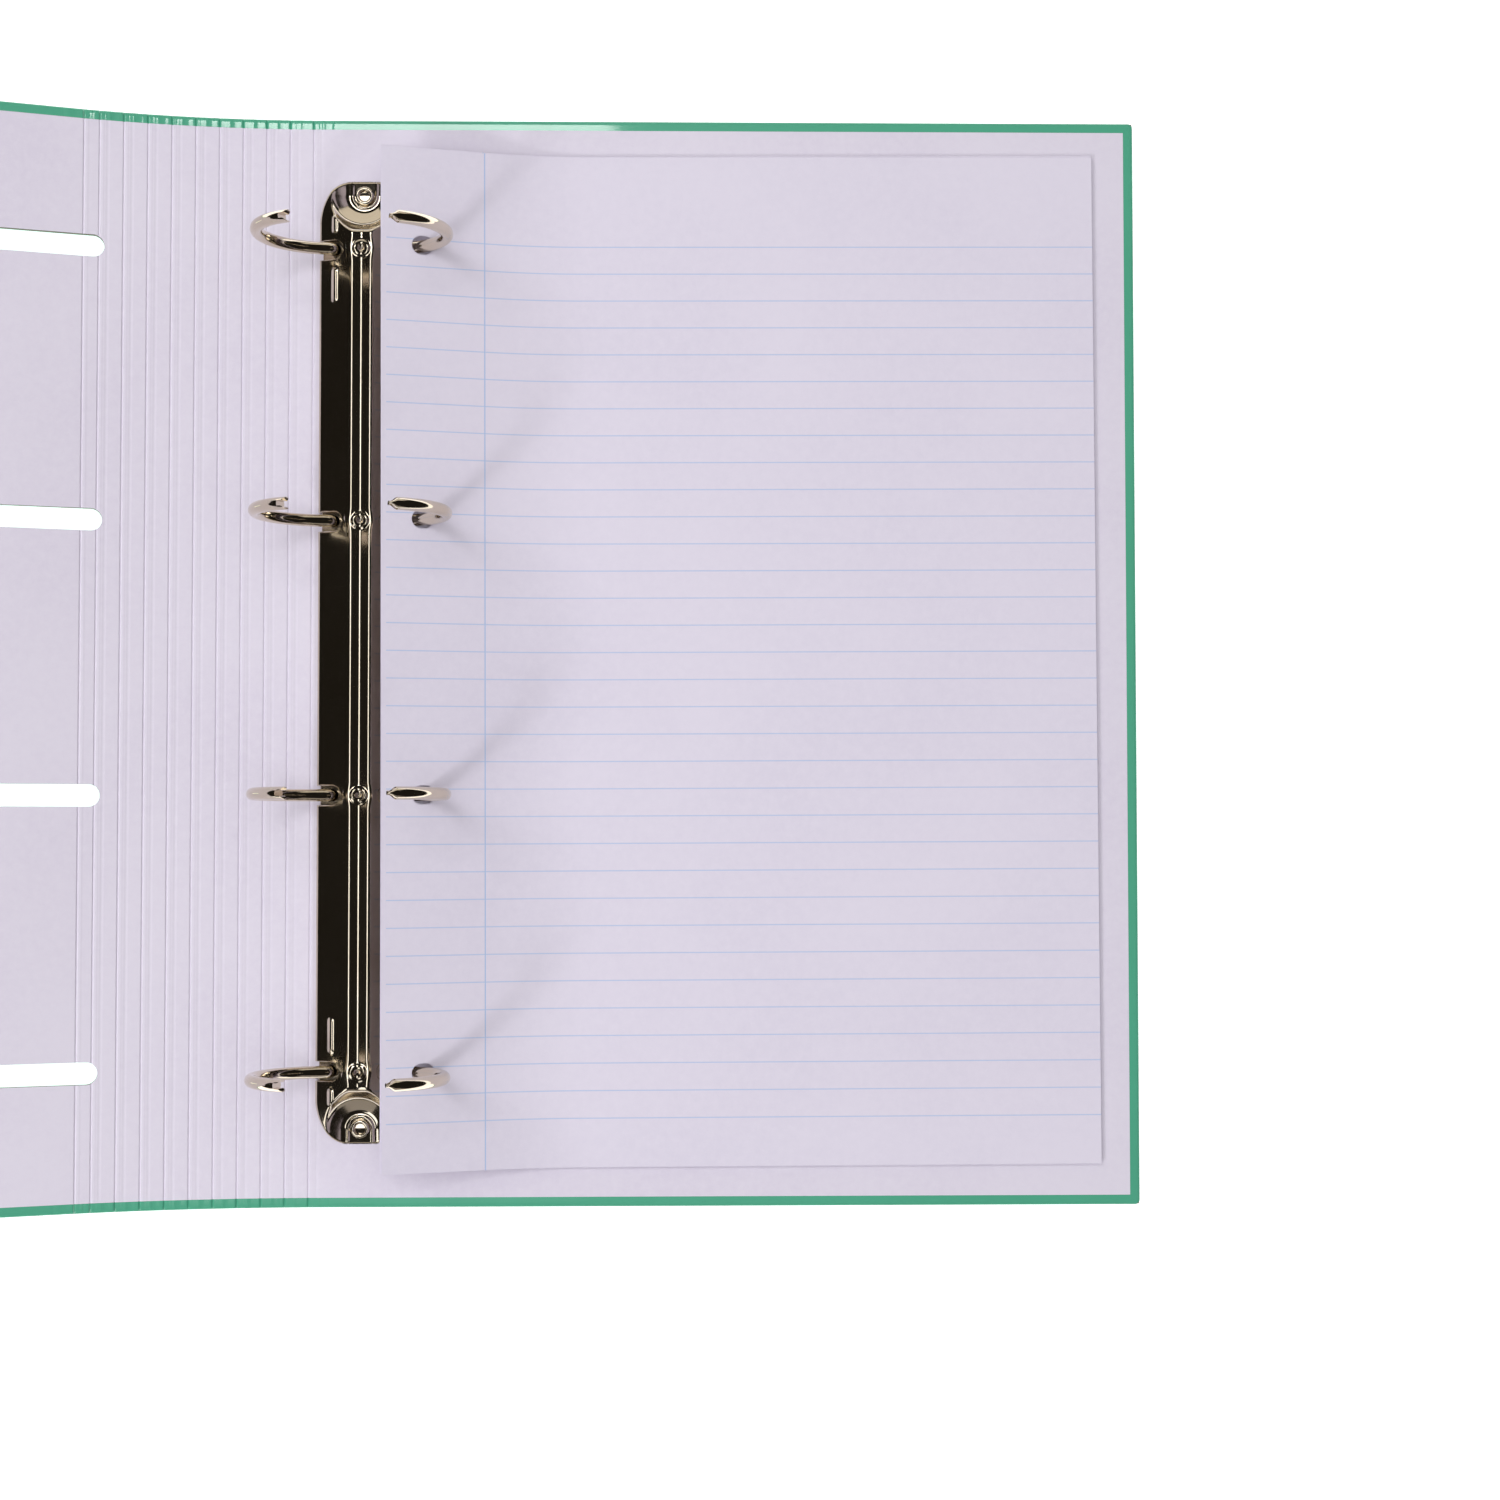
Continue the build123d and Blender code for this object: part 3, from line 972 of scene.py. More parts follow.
    def rim(self, panel: Panel) -> tuple[np.ndarray, np.ndarray]:
        """Edge of the wrap carried along the three free sides of a flat cover.

        At distance d in from the edge, the path is a rectangle set in by d whose corners have
        the radius r - d, or none where d is larger.

        Args:
            panel: the flat cover.

        Returns:
            Points and faces of the closed shell.
        """
        section = self.edge_section(self.flat_margin)
        inner = section + self.film * section_normals(section)
        angles = np.linspace(0, math.pi / 2, 7)
        turn = np.concatenate([[0.0], angles, [math.pi / 2] * 3, angles[::-1], [0.0]])
        side = np.concatenate([np.ones(len(angles) + 2), [0.0], -np.ones(len(angles) + 2)])
        straight = np.zeros(len(turn))
        straight[[0, -1]] = 1
        layers = []
        for line in (section, inner):
            inset, height = line[None, :, 0], line[None, :, 1]
            centre = np.maximum(self.corner_radius, inset)
            left_over = np.maximum(self.corner_radius - inset, 0)
            along = self.width - centre + left_over * np.sin(turn)[:, None]
            along = np.where(straight[:, None] > 0, self.flat_margin, along)
            across = self.half_height - centre + left_over * np.cos(turn)[:, None]
            layers.append(panel.place(along, across * side[:, None], height))
        kept = np.ones((len(turn) - 1, len(section) - 1), bool)
        return np.stack(layers), shell_faces(kept)

    def flat_wrap(self, panel: Panel, holes: list[Cutout]) -> bpy.types.Object:
        """Makes the wrap of one flat cover: its rounded rim and its outer face.

        Args:
            panel: the flat cover.
            holes: its holes.

        Returns:
            The piece.
        """
        surface = Surface()
        surface.add(*self.rim(panel))
        surface.add(*self.flat_sheet(panel, holes, self.flat_margin, (0.0, self.film)))
        return surface.piece(f"{panel.name}_outer_wrap", self.wrap_finish, "outer_wrap")

    def build(self) -> None:
        """Makes every piece of the case; the flat covers' pieces ride with their panels, the fold
        pieces stay where they are made.
        """
        back, front = self.panels
        away = self.mechanism - back.x
        for hole_radius, make, node in (
            (self.lining_hole_radius, self.flat_lining, "back_lining"),
            (self.wrap_hole_radius, self.flat_wrap, "back_wrap"),
        ):
            holes = [
                Cutout(row, away - hole_radius, away + hole_radius, hole_radius)
                for row in (-self.rivet_row, self.rivet_row)
            ]
            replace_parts(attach(make(back, holes), back.body), node)
        slots = self.ring_slots(-FAR, self.slot_end_front)
        for make, node in ((self.flat_lining, "front_lining"), (self.flat_wrap, "front_wrap")):
            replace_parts(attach(make(front, slots), front.body), node)
        for crease in self.creases:
            for make, layer in ((self.fold_lining, "lining"), (self.fold_wrap, "wrap")):
                piece = make(crease)
                crease.blend(piece)
                if crease.number <= len(self.creases) - 1:
                    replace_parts(piece, f"strip_{crease.number}_{layer}")


# ---------------------------------------------------------------------------
# Ring mechanism
# ---------------------------------------------------------------------------
@dataclass
class Housing:
    """Pressed nickel-plated channel over the blades: flanks, two ridges, dished ends."""

    finish: bpy.types.Material
    x: float
    base: float
    half_width: float
    half_length: float
    ring_rows: tuple[float, ...]
    rivet_row: float
    section_x: tuple[float, ...] = (0.0, 2.8, 4.6, 12.85)
    section_z: tuple[float, ...] = (6.75, 7.4, 6.7, 3.2)
    bend_blur: float = 0.45
    swell: float = 0.13
    swell_reach: float = 4.0
    metal: float = 0.7
    corner_wide: float = 8.6
    corner_long: float = 13.5
    corner_power: float = 1.8
    edge_round: float = 0.8
    dish_radius: float = 5.0
    dish_slope: float = 0.55
    wall_radius: float = 9.2
    wall_slope: float = 0.9
    dish_easing: float = 0.7
    wall_easing: float = 0.8
    dish_rim_softness: float = 0.5
    dish_floor: float = 0.8
    collar_radius: float = 3.55
    collar_height: float = 0.34
    collar_reach: float = 0.6
    end_fall: float = 0.12
    ribs: tuple[tuple[float, float], ...] = ((109.45, 10.7), (127.45, 5.7))
    rib_x: float = 8.0
    rib_height: float = 0.45
    rib_reach: float = 1.25
    boss_radius: float = 2.4
    boss_height: float = 0.5
    boss_edge: float = 0.7
    dimple_reach: float = 1.3
    dimple_share: float = 1.5
    notch_radius: float = 2.85
    notch_start: float = 5.35
    rib_zone: tuple[float, float, float] = (101.0, 126.0, 0.55)
    end_step: float = 0.26
    ring_zone: tuple[float, float] = (8.0, 0.5)
    plain_step: float = 3.0
    ridge_zone: tuple[float, float] = (7.5, 0.26)
    flank_step: float = 0.34

    def outline(self, y: np.ndarray) -> np.ndarray:
        """Half width of the outline: a rectangle whose corners follow u^p + v^p = 1.

        Args:
            y: distance from the middle.

        Returns:
            Half widths.
        """
        over = np.clip((np.abs(y) - self.half_length) / self.corner_long + 1, 0, 1)
        share = (1 - over**self.corner_power) ** (1 / self.corner_power)
        return self.half_width - self.corner_wide * (1 - share)

    def inset(self, x: np.ndarray, y: np.ndarray) -> np.ndarray:
        """Distance in from the outline, (1 - F) / |grad F| with F = (u^p + v^p)^(1/p).

        Args:
            x: distance from the centre line.
            y: distance from the middle.

        Returns:
            Distances in.
        """
        power = self.corner_power
        u = np.maximum((np.abs(x) - self.half_width) / self.corner_wide + 1, 0)
        v = np.maximum((np.abs(y) - self.half_length) / self.corner_long + 1, 0)
        level = np.maximum((u**power + v**power) ** (1 / power), 1e-3)
        slope = np.hypot(u ** (power - 1) / self.corner_wide, v ** (power - 1) / self.corner_long)
        slope = np.maximum(slope * level ** (1 - power), 1e-3)
        plain = np.minimum(self.half_width - np.abs(x), self.half_length - np.abs(y))
        return np.maximum(np.where((u > 0) & (v > 0), (1 - level) / slope, plain), 0)

    def height(self, x: np.ndarray, y: np.ndarray) -> np.ndarray:
        """Height of the pressed sheet over the lining.

        The channel's section is followed from the outline inwards, its corners softened by
        averaging over twice the blur. It is cut down by a dish round each rivet: a shallow cone,
        then a steeper wall, joined to the channel by the smooth minimum
        a + (b - a) m - k m (1 - m). Ribs, bosses and collars are added as round humps. The rim
        falls along a quarter circle.

        Args:
            x: distance from the centre line.
            y: distance from the middle.

        Returns:
            Heights.
        """
        inset = self.inset(x, y)
        ring_gap = np.min(np.abs(y[..., None] - np.array(self.ring_rows)), axis=-1)
        swollen = np.abs(x) / (1 + self.swell * bump(ring_gap, self.swell_reach))
        from_centre = np.where(np.abs(x) < self.section_x[2], swollen, self.half_width - inset)
        taps = [
            np.interp(np.abs(from_centre + shift), self.section_x, self.section_z)
            for shift in np.linspace(-self.bend_blur, self.bend_blur, 7)
        ]
        channel = np.mean(taps, axis=0)
        from_rivet = np.hypot(x, np.maximum(self.rivet_row - np.abs(y), 0))
        cone = eased(from_rivet - self.dish_radius, self.dish_easing) * self.dish_slope
        wall = eased(from_rivet - self.wall_radius, self.wall_easing) * self.wall_slope
        fall = self.end_fall * np.maximum(np.abs(y) - self.rivet_row, 0)
        dish = self.dish_floor + cone + wall - fall
        mixed = np.clip(0.5 + 0.5 * (dish - channel) / self.dish_rim_softness, 0, 1)
        surface = dish + (channel - dish) * mixed - self.dish_rim_softness * mixed * (1 - mixed)
        collar = bump(from_rivet - self.collar_radius, self.collar_reach)
        surface = surface + self.collar_height * collar
        for middle, length in self.ribs:
            along = np.maximum(np.abs(np.abs(y) - middle) - length / 2 + 1, 0)
            rib = np.hypot(np.abs(x) - self.rib_x, along)
            surface = surface + self.rib_height * bump(rib, self.rib_reach)
        from_ring = np.hypot(x, ring_gap)
        plateau = smooth_step((self.boss_radius + 0.3 - from_ring) / self.boss_edge)
        dimple = self.dimple_share * bump(from_ring, self.dimple_reach)
        surface = surface + self.boss_height * plateau * (1 - dimple)
        fall = np.clip(self.edge_round - inset, 0, self.edge_round)
        rounded = self.edge_round - np.sqrt(self.edge_round**2 - fall**2)
        return np.maximum(surface - rounded, 0)

    def rows(self) -> np.ndarray:
        """Lays out the rows: close set at pressed detail, 3 mm apart along the plain channel.

        Returns:
            Row positions, ascending.
        """
        end = self.half_length - np.array([0, 0.08, 0.2, 0.4, 0.65, 0.9])
        rib_start, dish_start, _ = self.rib_zone
        reach, step = self.ring_zone
        fine = np.concatenate([
            np.arange(*self.rib_zone), np.arange(dish_start, self.half_length - 1, self.end_step),
            end,
            *[
                row + np.arange(-reach, reach + 0.01, step)
                for row in self.ring_rows if 0 < row < rib_start
            ],
        ])
        plain = np.arange(0, rib_start, self.plain_step)
        half = np.unique(np.round(np.concatenate([fine, plain]), 3))
        half = half[np.concatenate([[True], np.diff(half) > 0.04])]
        half[-1] = self.half_length
        return np.unique(np.concatenate([-half, half]))

    def build(self) -> bpy.types.Object:
        """Makes the housing as a height over a grid, thickened to the sheet's gauge.

        Returns:
            The piece.
        """
        edge = self.half_width - np.array([0, 0.05, 0.15, 0.3, 0.5, 0.75, 1.0])
        notches = [
            Cutout(row, self.notch_start, FAR, self.notch_radius) for row in self.ring_rows
        ]
        side = np.concatenate([
            np.arange(0, *self.ridge_zone),
            np.arange(self.ridge_zone[0], self.half_width - 1.2, self.flank_step), edge,
            notches[0].columns(),
        ])
        side = np.unique(np.round(side[side <= self.half_width], 3))
        side = side[np.concatenate([[True], np.diff(side) > 0.03])]
        along = np.unique(np.concatenate([-side, side]))
        across, kept = lay_rows(self.rows(), np.abs(along), notches)
        x = along[:, None] * self.outline(across) / self.half_width
        z = self.height(x, across)
        points = np.stack([x + self.x, across, z + self.base], axis=-1)
        skirt = points.copy()
        skirt[..., 2] = self.base
        surface = Surface()
        surface.add(points, grid_faces(kept))
        count = points.shape[0] * points.shape[1]
        index = np.arange(count).reshape(points.shape[:2])
        rims = []
        for line, cells, flip in (
            (index[0], kept[0], True), (index[-1], kept[-1], False),
            (index[:, 0], kept[:, 0], False), (index[:, -1], kept[:, -1], True),
        ):
            near, far = line[:-1][cells], line[1:][cells]
            if flip:
                near, far = far, near
            rims.append(np.stack([near, near + count, far + count, far], axis=-1))
        surface.points.append(skirt.reshape(-1, 3))
        surface.faces.append(np.concatenate(rims))
        made = surface.piece("pressed_housing", self.finish, "housing_steel", closed=False, sharp=50)
        gauge = made.modifiers.new("gauge", "SOLIDIFY")
        gauge.thickness = self.metal * METRES
        gauge.offset = -1.0
        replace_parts(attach(made, "back_cover"), "housing")
        return made


@dataclass
class Rivets:
    """Two hollow rivets: a flush head under the cover, a tube, and a rolled bright rim on top."""

    finish: bpy.types.Material
    x: float
    rows: tuple[float, ...]
    floor: float
    profile: tuple[tuple[float, float], ...] = (
        (1.45, 0.18), (1.62, 0.0), (3.8, 0.0), (4.0, 0.12), (4.0, 0.3), (2.2, 0.3),
        (2.2, -0.02), (2.52, 0.02), (2.72, 0.28), (2.68, 0.6), (2.42, 0.84), (2.1, 0.9),
        (1.8, 0.83), (1.58, 0.62), (1.46, 0.3),
    )
    rim_from: int = 6

    def build(self) -> None:
        """Turns the profile about each rivet's axis: (r cos a, r sin a, z)."""
        line = np.array(self.profile)
        line[self.rim_from:, 1] += self.floor
        angle = np.linspace(0, 2 * math.pi, 48, endpoint=False)
        surface = Surface()
        for row in self.rows:
            radius, height = line[:, 0][None, :], line[:, 1][None, :]
            points = np.stack([
                self.x + radius * np.cos(angle)[:, None],
                row + radius * np.sin(angle)[:, None],
                np.broadcast_to(height, (angle.size, len(line))),
            ], axis=-1)
            surface.add_tube(np.concatenate([points, points[:1]]))
        made = surface.piece("hollow_rivets", self.finish, "rivet_steel")
        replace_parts(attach(made, "back_cover"), "rivets")


@dataclass
class HalfRing:
    """One bent wire, worked out in its blade's own plane and set up at the open angle."""

    finish: bpy.types.Material
    side: Side
    mechanism: float
    base: float
    pivot_x: float = 11.4
    pivot_height: float = 1.9
    open_turn: float = math.radians(15)
    shut_turn: float = math.radians(-6)
    wire: float = 1.8
    radius: float = 18.8
    rise: float = 20.4
    foot: float = 4.0
    foot_sink: float = 0.45
    foot_bend: float = 3.0
    tip_gap: float = 0.1
    fork_depth: float = 2.2
    fork_half: float = 0.75
    fork_mouth: float = 1.5
    fork_flare: float = 1.1
    fork_tip_share: float = 0.72
    fork_overlap: float = 0.03
    tongue_length: float = 1.8
    tongue_share: float = 0.34
    tongue_start: float = 0.5
    taper_length: float = 2.0
    tongue_end_share: float = 0.8
    around: int = 32

    def path(self, tip: float, start: float | None = None) -> np.ndarray:
        """Centre line in the blade's plane: the foot, a small bend, then the big arc.

        Args:
            tip: angle past the ring's top at which it ends, in radians, outwards positive.
            start: angle at which it starts on the big arc, or None for the whole wire.

        Returns:
            Distance along the blade and height over it, for each point.
        """
        centre = np.array([
            self.pivot_x * math.cos(self.shut_turn) + self.rise * math.sin(self.shut_turn),
            self.rise * math.cos(self.shut_turn) - self.pivot_x * math.sin(self.shut_turn),
        ])
        apart = self.radius + self.foot_bend
        bend = np.array([self.foot - self.foot_bend, 0.0])
        bend[1] = centre[1] - math.sqrt(apart**2 - (centre[0] - bend[0]) ** 2)
        lean = math.atan2(centre[1] - bend[1], centre[0] - bend[0])
        top = math.pi / 2 - self.shut_turn
        first = lean + math.pi if start is None else top + start
        sweep = np.linspace(first, top + tip, 90 if start is None else 12)
        big = centre + self.radius * np.stack([np.cos(sweep), np.sin(sweep)], axis=-1)
        if start is not None:
            return big
        small_turn = np.linspace(0, lean, 12)
        small = bend + self.foot_bend * np.stack([np.cos(small_turn), np.sin(small_turn)], axis=-1)
        foot = np.array([[self.foot, -self.foot_sink], [self.foot, bend[1] * 0.5]])
        return np.concatenate([foot, small, big[1:]])

    def sweep(self, path: np.ndarray, outline: np.ndarray, scale: np.ndarray, row: float) -> np.ndarray:
        """Carries an outline along a path in the blade's plane.

        Each station is the path's point plus the outline's first value along the normal in the
        plane and its second along Y, both times the station's scale.

        Args:
            path: the centre line.
            outline: closed outline as normal and Y values, or one outline for each station.
            scale: share of the outline along the normal and along Y, for each station.
            row: Y of the ring.

        Returns:
            Points in the frame, with both ends drawn in to their centres.
        """
        run = np.gradient(path, axis=0)
        run = run / np.linalg.norm(run, axis=1, keepdims=True)
        normal = np.stack([-run[:, 1], run[:, 0]], axis=-1)
        stations = np.concatenate([[0], np.arange(len(path)), [len(path) - 1]])
        drawn = np.concatenate([[[0, 0]], scale, [[0, 0]]])
        shapes = np.broadcast_to(outline, (len(path), *outline.shape[-2:]))[stations]
        out = shapes[..., 0] * drawn[:, :1]
        middle = shapes[..., 1].mean(axis=1, keepdims=True)
        y = middle + (shapes[..., 1] - middle) * drawn[:, 1:] + row
        spot = path[stations][:, None, :] + normal[stations][:, None, :] * out[..., None]
        sign = self.side.value
        inward = (-sign * math.cos(self.open_turn), math.sin(self.open_turn))
        upward = (sign * math.sin(self.open_turn), math.cos(self.open_turn))
        x = self.mechanism + sign * self.pivot_x + spot[..., 0] * inward[0] + spot[..., 1] * upward[0]
        z = self.base + self.pivot_height + spot[..., 0] * inward[1] + spot[..., 1] * upward[1]
        return np.stack([x, y, z], axis=-1)

    def circle(self) -> np.ndarray:
        """The wire's round outline."""
        angle = np.linspace(0, 2 * math.pi, self.around, endpoint=False)
        return self.wire * np.stack([np.cos(angle), np.sin(angle)], axis=-1)

    def prong(self, way: int, gaps: np.ndarray) -> np.ndarray:
        """Outlines of one prong of the fork: slices of the wire, cut off by a chord.

        Args:
            way: 1 or -1, the side of the ring's plane that it is on.
            gaps: distance of the chord from the ring's plane, for each station.

        Returns:
            One closed outline for each station.
        """
        angle = np.arccos(gaps / self.wire)[:, None] * np.linspace(-1, 1, 15)
        arc = np.stack([self.wire * np.sin(angle), way * self.wire * np.cos(angle)], axis=-1)
        share = np.linspace(0, 1, 7)[1:-1, None]
        chord = arc[:, -1:] + (arc[:, :1] - arc[:, -1:]) * share
        return np.concatenate([arc, chord], axis=1)

    def tongued(self, surface: Surface, row: float) -> None:
        """Adds the wire that ends in a tongue, narrowed by a smooth step of the length left.

        Args:
            surface: piece that it is added to.
            row: Y of the ring.
        """
        path = self.path(-self.tongue_length / self.radius)
        left = np.concatenate([[0], np.cumsum(np.linalg.norm(np.diff(path, axis=0), axis=1))])
        left = left[-1] - left
        widening = smooth_step((left - self.tongue_start) / self.taper_length)
        wide = self.tongue_share + (1 - self.tongue_share) * widening
        rounding = np.minimum(left / self.tongue_start, 1)
        tall = self.tongue_end_share + (1 - self.tongue_end_share) * rounding
        scale = np.stack([tall, wide], axis=-1)
        surface.add_tube(self.sweep(path, self.circle(), scale, row))

    def forked(self, surface: Surface, row: float) -> None:
        """Adds the wire that ends in a fork, whose gap widens evenly towards its mouth.

        Args:
            surface: piece that it is added to.
            row: Y of the ring.
        """
        tip = self.tip_gap / self.radius
        root = tip + self.fork_depth / self.radius
        path = self.path(root)
        surface.add_tube(self.sweep(path, self.circle(), np.ones((len(path), 2)), row))
        start = root + self.fork_overlap
        path = self.path(tip, start)
        scale = np.ones((len(path), 2))
        scale[-1] = self.fork_tip_share
        run_in = np.linspace(start, tip, len(path)) * self.radius - self.tip_gap
        flare = 1 - np.clip(run_in / self.fork_flare, 0, 1)
        gaps = self.fork_half + (self.fork_mouth - self.fork_half) * flare
        for way in (-1, 1):
            surface.add_tube(self.sweep(path, self.prong(way, gaps), scale, row))

    def build(self, number: int, row: float) -> None:
        """Makes one half ring.

        Args:
            number: ring number, 1 at the top.
            row: its Y.
        """
        surface = Surface()
        shape = self.tongued if self.side is Side.RIGHT else self.forked
        shape(surface, row)
        word = self.side.name.lower()
        made = surface.piece(f"{word}_ring_wire_{number}", self.finish, "ring_wire", sharp=50)
        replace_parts(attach(made, f"{word}_rings"), f"{word}_half_ring_{number}")


# ---------------------------------------------------------------------------
# Paper
# ---------------------------------------------------------------------------
@dataclass
class PaperStack:
    """Loose punched sheets on the right-hand rings, sloping down onto the lining."""

    finish: bpy.types.Material
    edge_x: float
    start_z: float
    base: float
    ring_rows: tuple[float, ...]
    width: float = 210.0
    height: float = 297.0
    thickness: float = 1.2
    slope: float = math.radians(16)
    bend_radius: float = 108.0
    hole_inset: float = 12.0
    hole_radius: float = 2.95
    hole_slack: float = 1.0
    sheets: int = 9
    sheet_gauge: float = 0.095
    bent_width: float = 68.0
    first_rule: float = 26.8
    rule_pitch: float = 8.0
    skew: float = math.radians(0.22)
    loose_turn: float = math.radians(0.12)
    loose_shift: tuple[float, float] = (0.25, 0.4)

    def section(self, distance: np.ndarray, above: np.ndarray) -> tuple[np.ndarray, np.ndarray]:
        """The stack's side view: a straight slope, an arc, then flat.

        Args:
            distance: distance from the punched edge along the stack's middle.
            above: offset from the middle.

        Returns:
            X and Z.
        """
        arc_drop = self.bend_radius * (1 - math.cos(self.slope))
        straight = (self.start_z - self.thickness / 2 - arc_drop) / math.sin(self.slope)
        run = np.minimum(distance, straight)
        turned = np.clip((distance - straight) / self.bend_radius, 0, self.slope)
        flat = np.maximum(distance - straight - self.bend_radius * self.slope, 0)
        here = self.slope - turned
        x = run * math.cos(self.slope) + flat
        x = x + self.bend_radius * (math.sin(self.slope) - np.sin(here))
        z = self.start_z - run * math.sin(self.slope)
        z = z - self.bend_radius * (np.cos(here) - math.cos(self.slope))
        return self.edge_x + x + above * np.sin(here), self.base + z + above * np.cos(here)

    def sheet(self, number: int, top: float, shift: tuple[float, float], turn: float) -> None:
        """Makes one sheet.

        Args:
            number: 1 for the top sheet.
            top: offset of its upper face from the stack's middle.
            shift: how far it lies out of line, along X and Y.
            turn: how far it is turned in its plane about its punched edge, in radians.
        """
        half = (self.hole_slack + 2 * self.hole_radius) / 2
        start, end = self.hole_inset - half, self.hole_inset + half
        holes = [Cutout(row, start, end, self.hole_radius) for row in self.ring_rows]
        distance = even_columns(
            0, self.width, holes[0].columns(), np.linspace(0, self.bent_width, 30),
            np.linspace(self.bent_width, self.width, 9),
        )
        rows, kept = lay_rows(
            np.linspace(-self.height / 2, self.height / 2, 27), distance, holes
        )
        along = np.broadcast_to(distance[:, None], rows.shape)
        moved = along + shift[0] - rows * turn
        y = rows + shift[1] + (along - self.hole_inset) * turn
        layers, marks = [], []
        for above in (top, top - self.sheet_gauge):
            x, z = self.section(moved, np.full(rows.shape, above))
            layers.append(np.stack([x, y, z], axis=-1))
            below = (self.height / 2 - rows - self.first_rule) / self.rule_pitch
            marks.append(np.stack([along, below], axis=-1))
        surface = Surface()
        surface.add(np.stack(layers), shell_faces(kept), np.stack(marks))
        made = surface.piece(f"paper_sheet_{number}", self.finish, "paper")
        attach(made, "paper")
        if number == 1:
            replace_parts(made, "filed_paper")

    def build(self) -> None:
        """Makes every sheet, each lying a little differently."""
        places = np.random.default_rng(7)
        lie = places.uniform(-1, 1, (self.sheets, 3))
        lie[0] = 0
        step = self.thickness / self.sheets
        for number in range(self.sheets):
            shift = (self.loose_shift[0] * lie[number, 0], self.loose_shift[1] * lie[number, 1])
            turn = self.skew + self.loose_turn * lie[number, 2]
            self.sheet(number + 1, self.thickness / 2 - number * step, shift, turn)


# ---------------------------------------------------------------------------
# Studio
# ---------------------------------------------------------------------------
@dataclass(frozen=True)
class Softbox:
    """An area light: where it is, what it points at, its two sides in metres and its power."""

    name: str
    place: tuple[float, float, float]
    aim: tuple[float, float, float]
    size: tuple[float, float]
    power: float
    colour: tuple[float, float, float] = (1.0, 1.0, 1.0)
    mirrored: bool = True

    def build(self) -> None:
        """Adds the light to the scene."""
        data = bpy.data.lights.new(self.name, "AREA")
        data.shape = "RECTANGLE"
        data.size, data.size_y = self.size
        data.energy = self.power
        data.color = self.colour
        light = bpy.data.objects.new(self.name, data)
        light.location = self.place
        away = Vector(self.aim) - Vector(self.place)
        light.rotation_euler = away.to_track_quat("-Z", "Y").to_euler()
        light.visible_glossy = self.mirrored
        bpy.context.scene.collection.objects.link(light)


@dataclass
class Studio:
    """Plain white table, soft light and the camera."""

    table_side: float = 6.0
    table_drop: float = 0.0004
    room_strength: float = 0.014
    camera_place: tuple[float, float, float] = (0.143, -0.0515, 0.6891)
    camera_turn: tuple[float, float, float] = (-0.0361, 0.0184, 0.0005)
    lens: float = 56.12
    lights: tuple[Softbox, ...] = (
        Softbox("overhead_box", (-0.12, 0.1, 1.4), (-0.12, 0.1, 0.0), (0.3, 0.93), 2.1),
        Softbox("band_strip", (-0.18, 0.625, 1.4), (-0.18, 0.0, 0.0), (0.48, 0.1), 1.3),
        Softbox(
            "far_wall", (0.0, 1.1, 0.42), (0.0, 0.0, 0.1), (1.6, 0.5), 2.0, (1.0, 0.94, 0.84)
        ),
        Softbox(
            "near_wall", (0.0, -1.2, 0.42), (0.0, 0.0, 0.1), (1.6, 0.5), 0.8, (1.0, 0.93, 0.88)
        ),
        Softbox(
            "far_left_box", (-0.85, 0.75, 1.0), (0.1, 0.0, 0.0), (0.7, 0.7), 5.0, mirrored=False
        ),
        Softbox("near_left_box", (-0.75, -0.85, 1.0), (0.1, 0.0, 0.0), (0.7, 0.7), 2.6),
        Softbox(
            "shadow_box", (-0.7, -0.95, 0.9), (0.1, 0.0, 0.0), (0.3, 0.3), 6.0, mirrored=False
        ),
        Softbox(
            "fill_box", (0.3, 0.0, 1.8), (0.05, 0.0, 0.0), (2.4, 2.4), 23.5, mirrored=False
        ),
    )

    def table(self) -> None:
        """Lays the table top just under the binder."""
        half = self.table_side / 2
        mesh = bpy.data.meshes.new("table_top")
        spots = ((-half, -half), (half, -half), (half, half), (-half, half))
        corners = [(*spot, -self.table_drop) for spot in spots]
        mesh.from_pydata(corners, [], [(0, 1, 2, 3)])
        mesh.materials.append(TableBoard().material())
        table = bpy.data.objects.new("table_top", mesh)
        bpy.context.scene.collection.objects.link(table)

    def surroundings(self) -> None:
        """A dim, even room, which bright metal shows as its dark stretches."""
        world = bpy.data.worlds.new("dim_room")
        bpy.context.scene.world = world
        world.use_nodes = True
        world.node_tree.nodes.clear()
        room = add_node(
            world.node_tree, "ShaderNodeBackground",
            {"Color": (1.0, 0.88, 0.72, 1.0), "Strength": self.room_strength},
        )
        add_node(world.node_tree, "ShaderNodeOutputWorld", {"Surface": room.outputs[0]})

    def camera(self) -> None:
        """Sets the camera: turned about X, then Y, then Z, as a view of the table from above."""
        data = bpy.data.cameras.new("camera")
        data.lens = self.lens
        data.sensor_width = 36.0
        data.clip_start, data.clip_end = 0.01, 20.0
        camera = bpy.data.objects.new("camera", data)
        turn = Matrix.Identity(3)
        for angle, axis in zip(self.camera_turn, "XYZ"):
            turn = Matrix.Rotation(angle, 3, axis) @ turn
        camera.matrix_world = Matrix.Translation(self.camera_place) @ turn.transposed().to_4x4()
        bpy.context.scene.collection.objects.link(camera)
        bpy.context.scene.camera = camera

    def build(self) -> None:
        """Sets up the table, the room, the lights and the camera."""
        self.table()
        self.surroundings()
        for light in self.lights:
            light.build()
        self.camera()
        bpy.context.scene.view_settings.view_transform = "Standard"


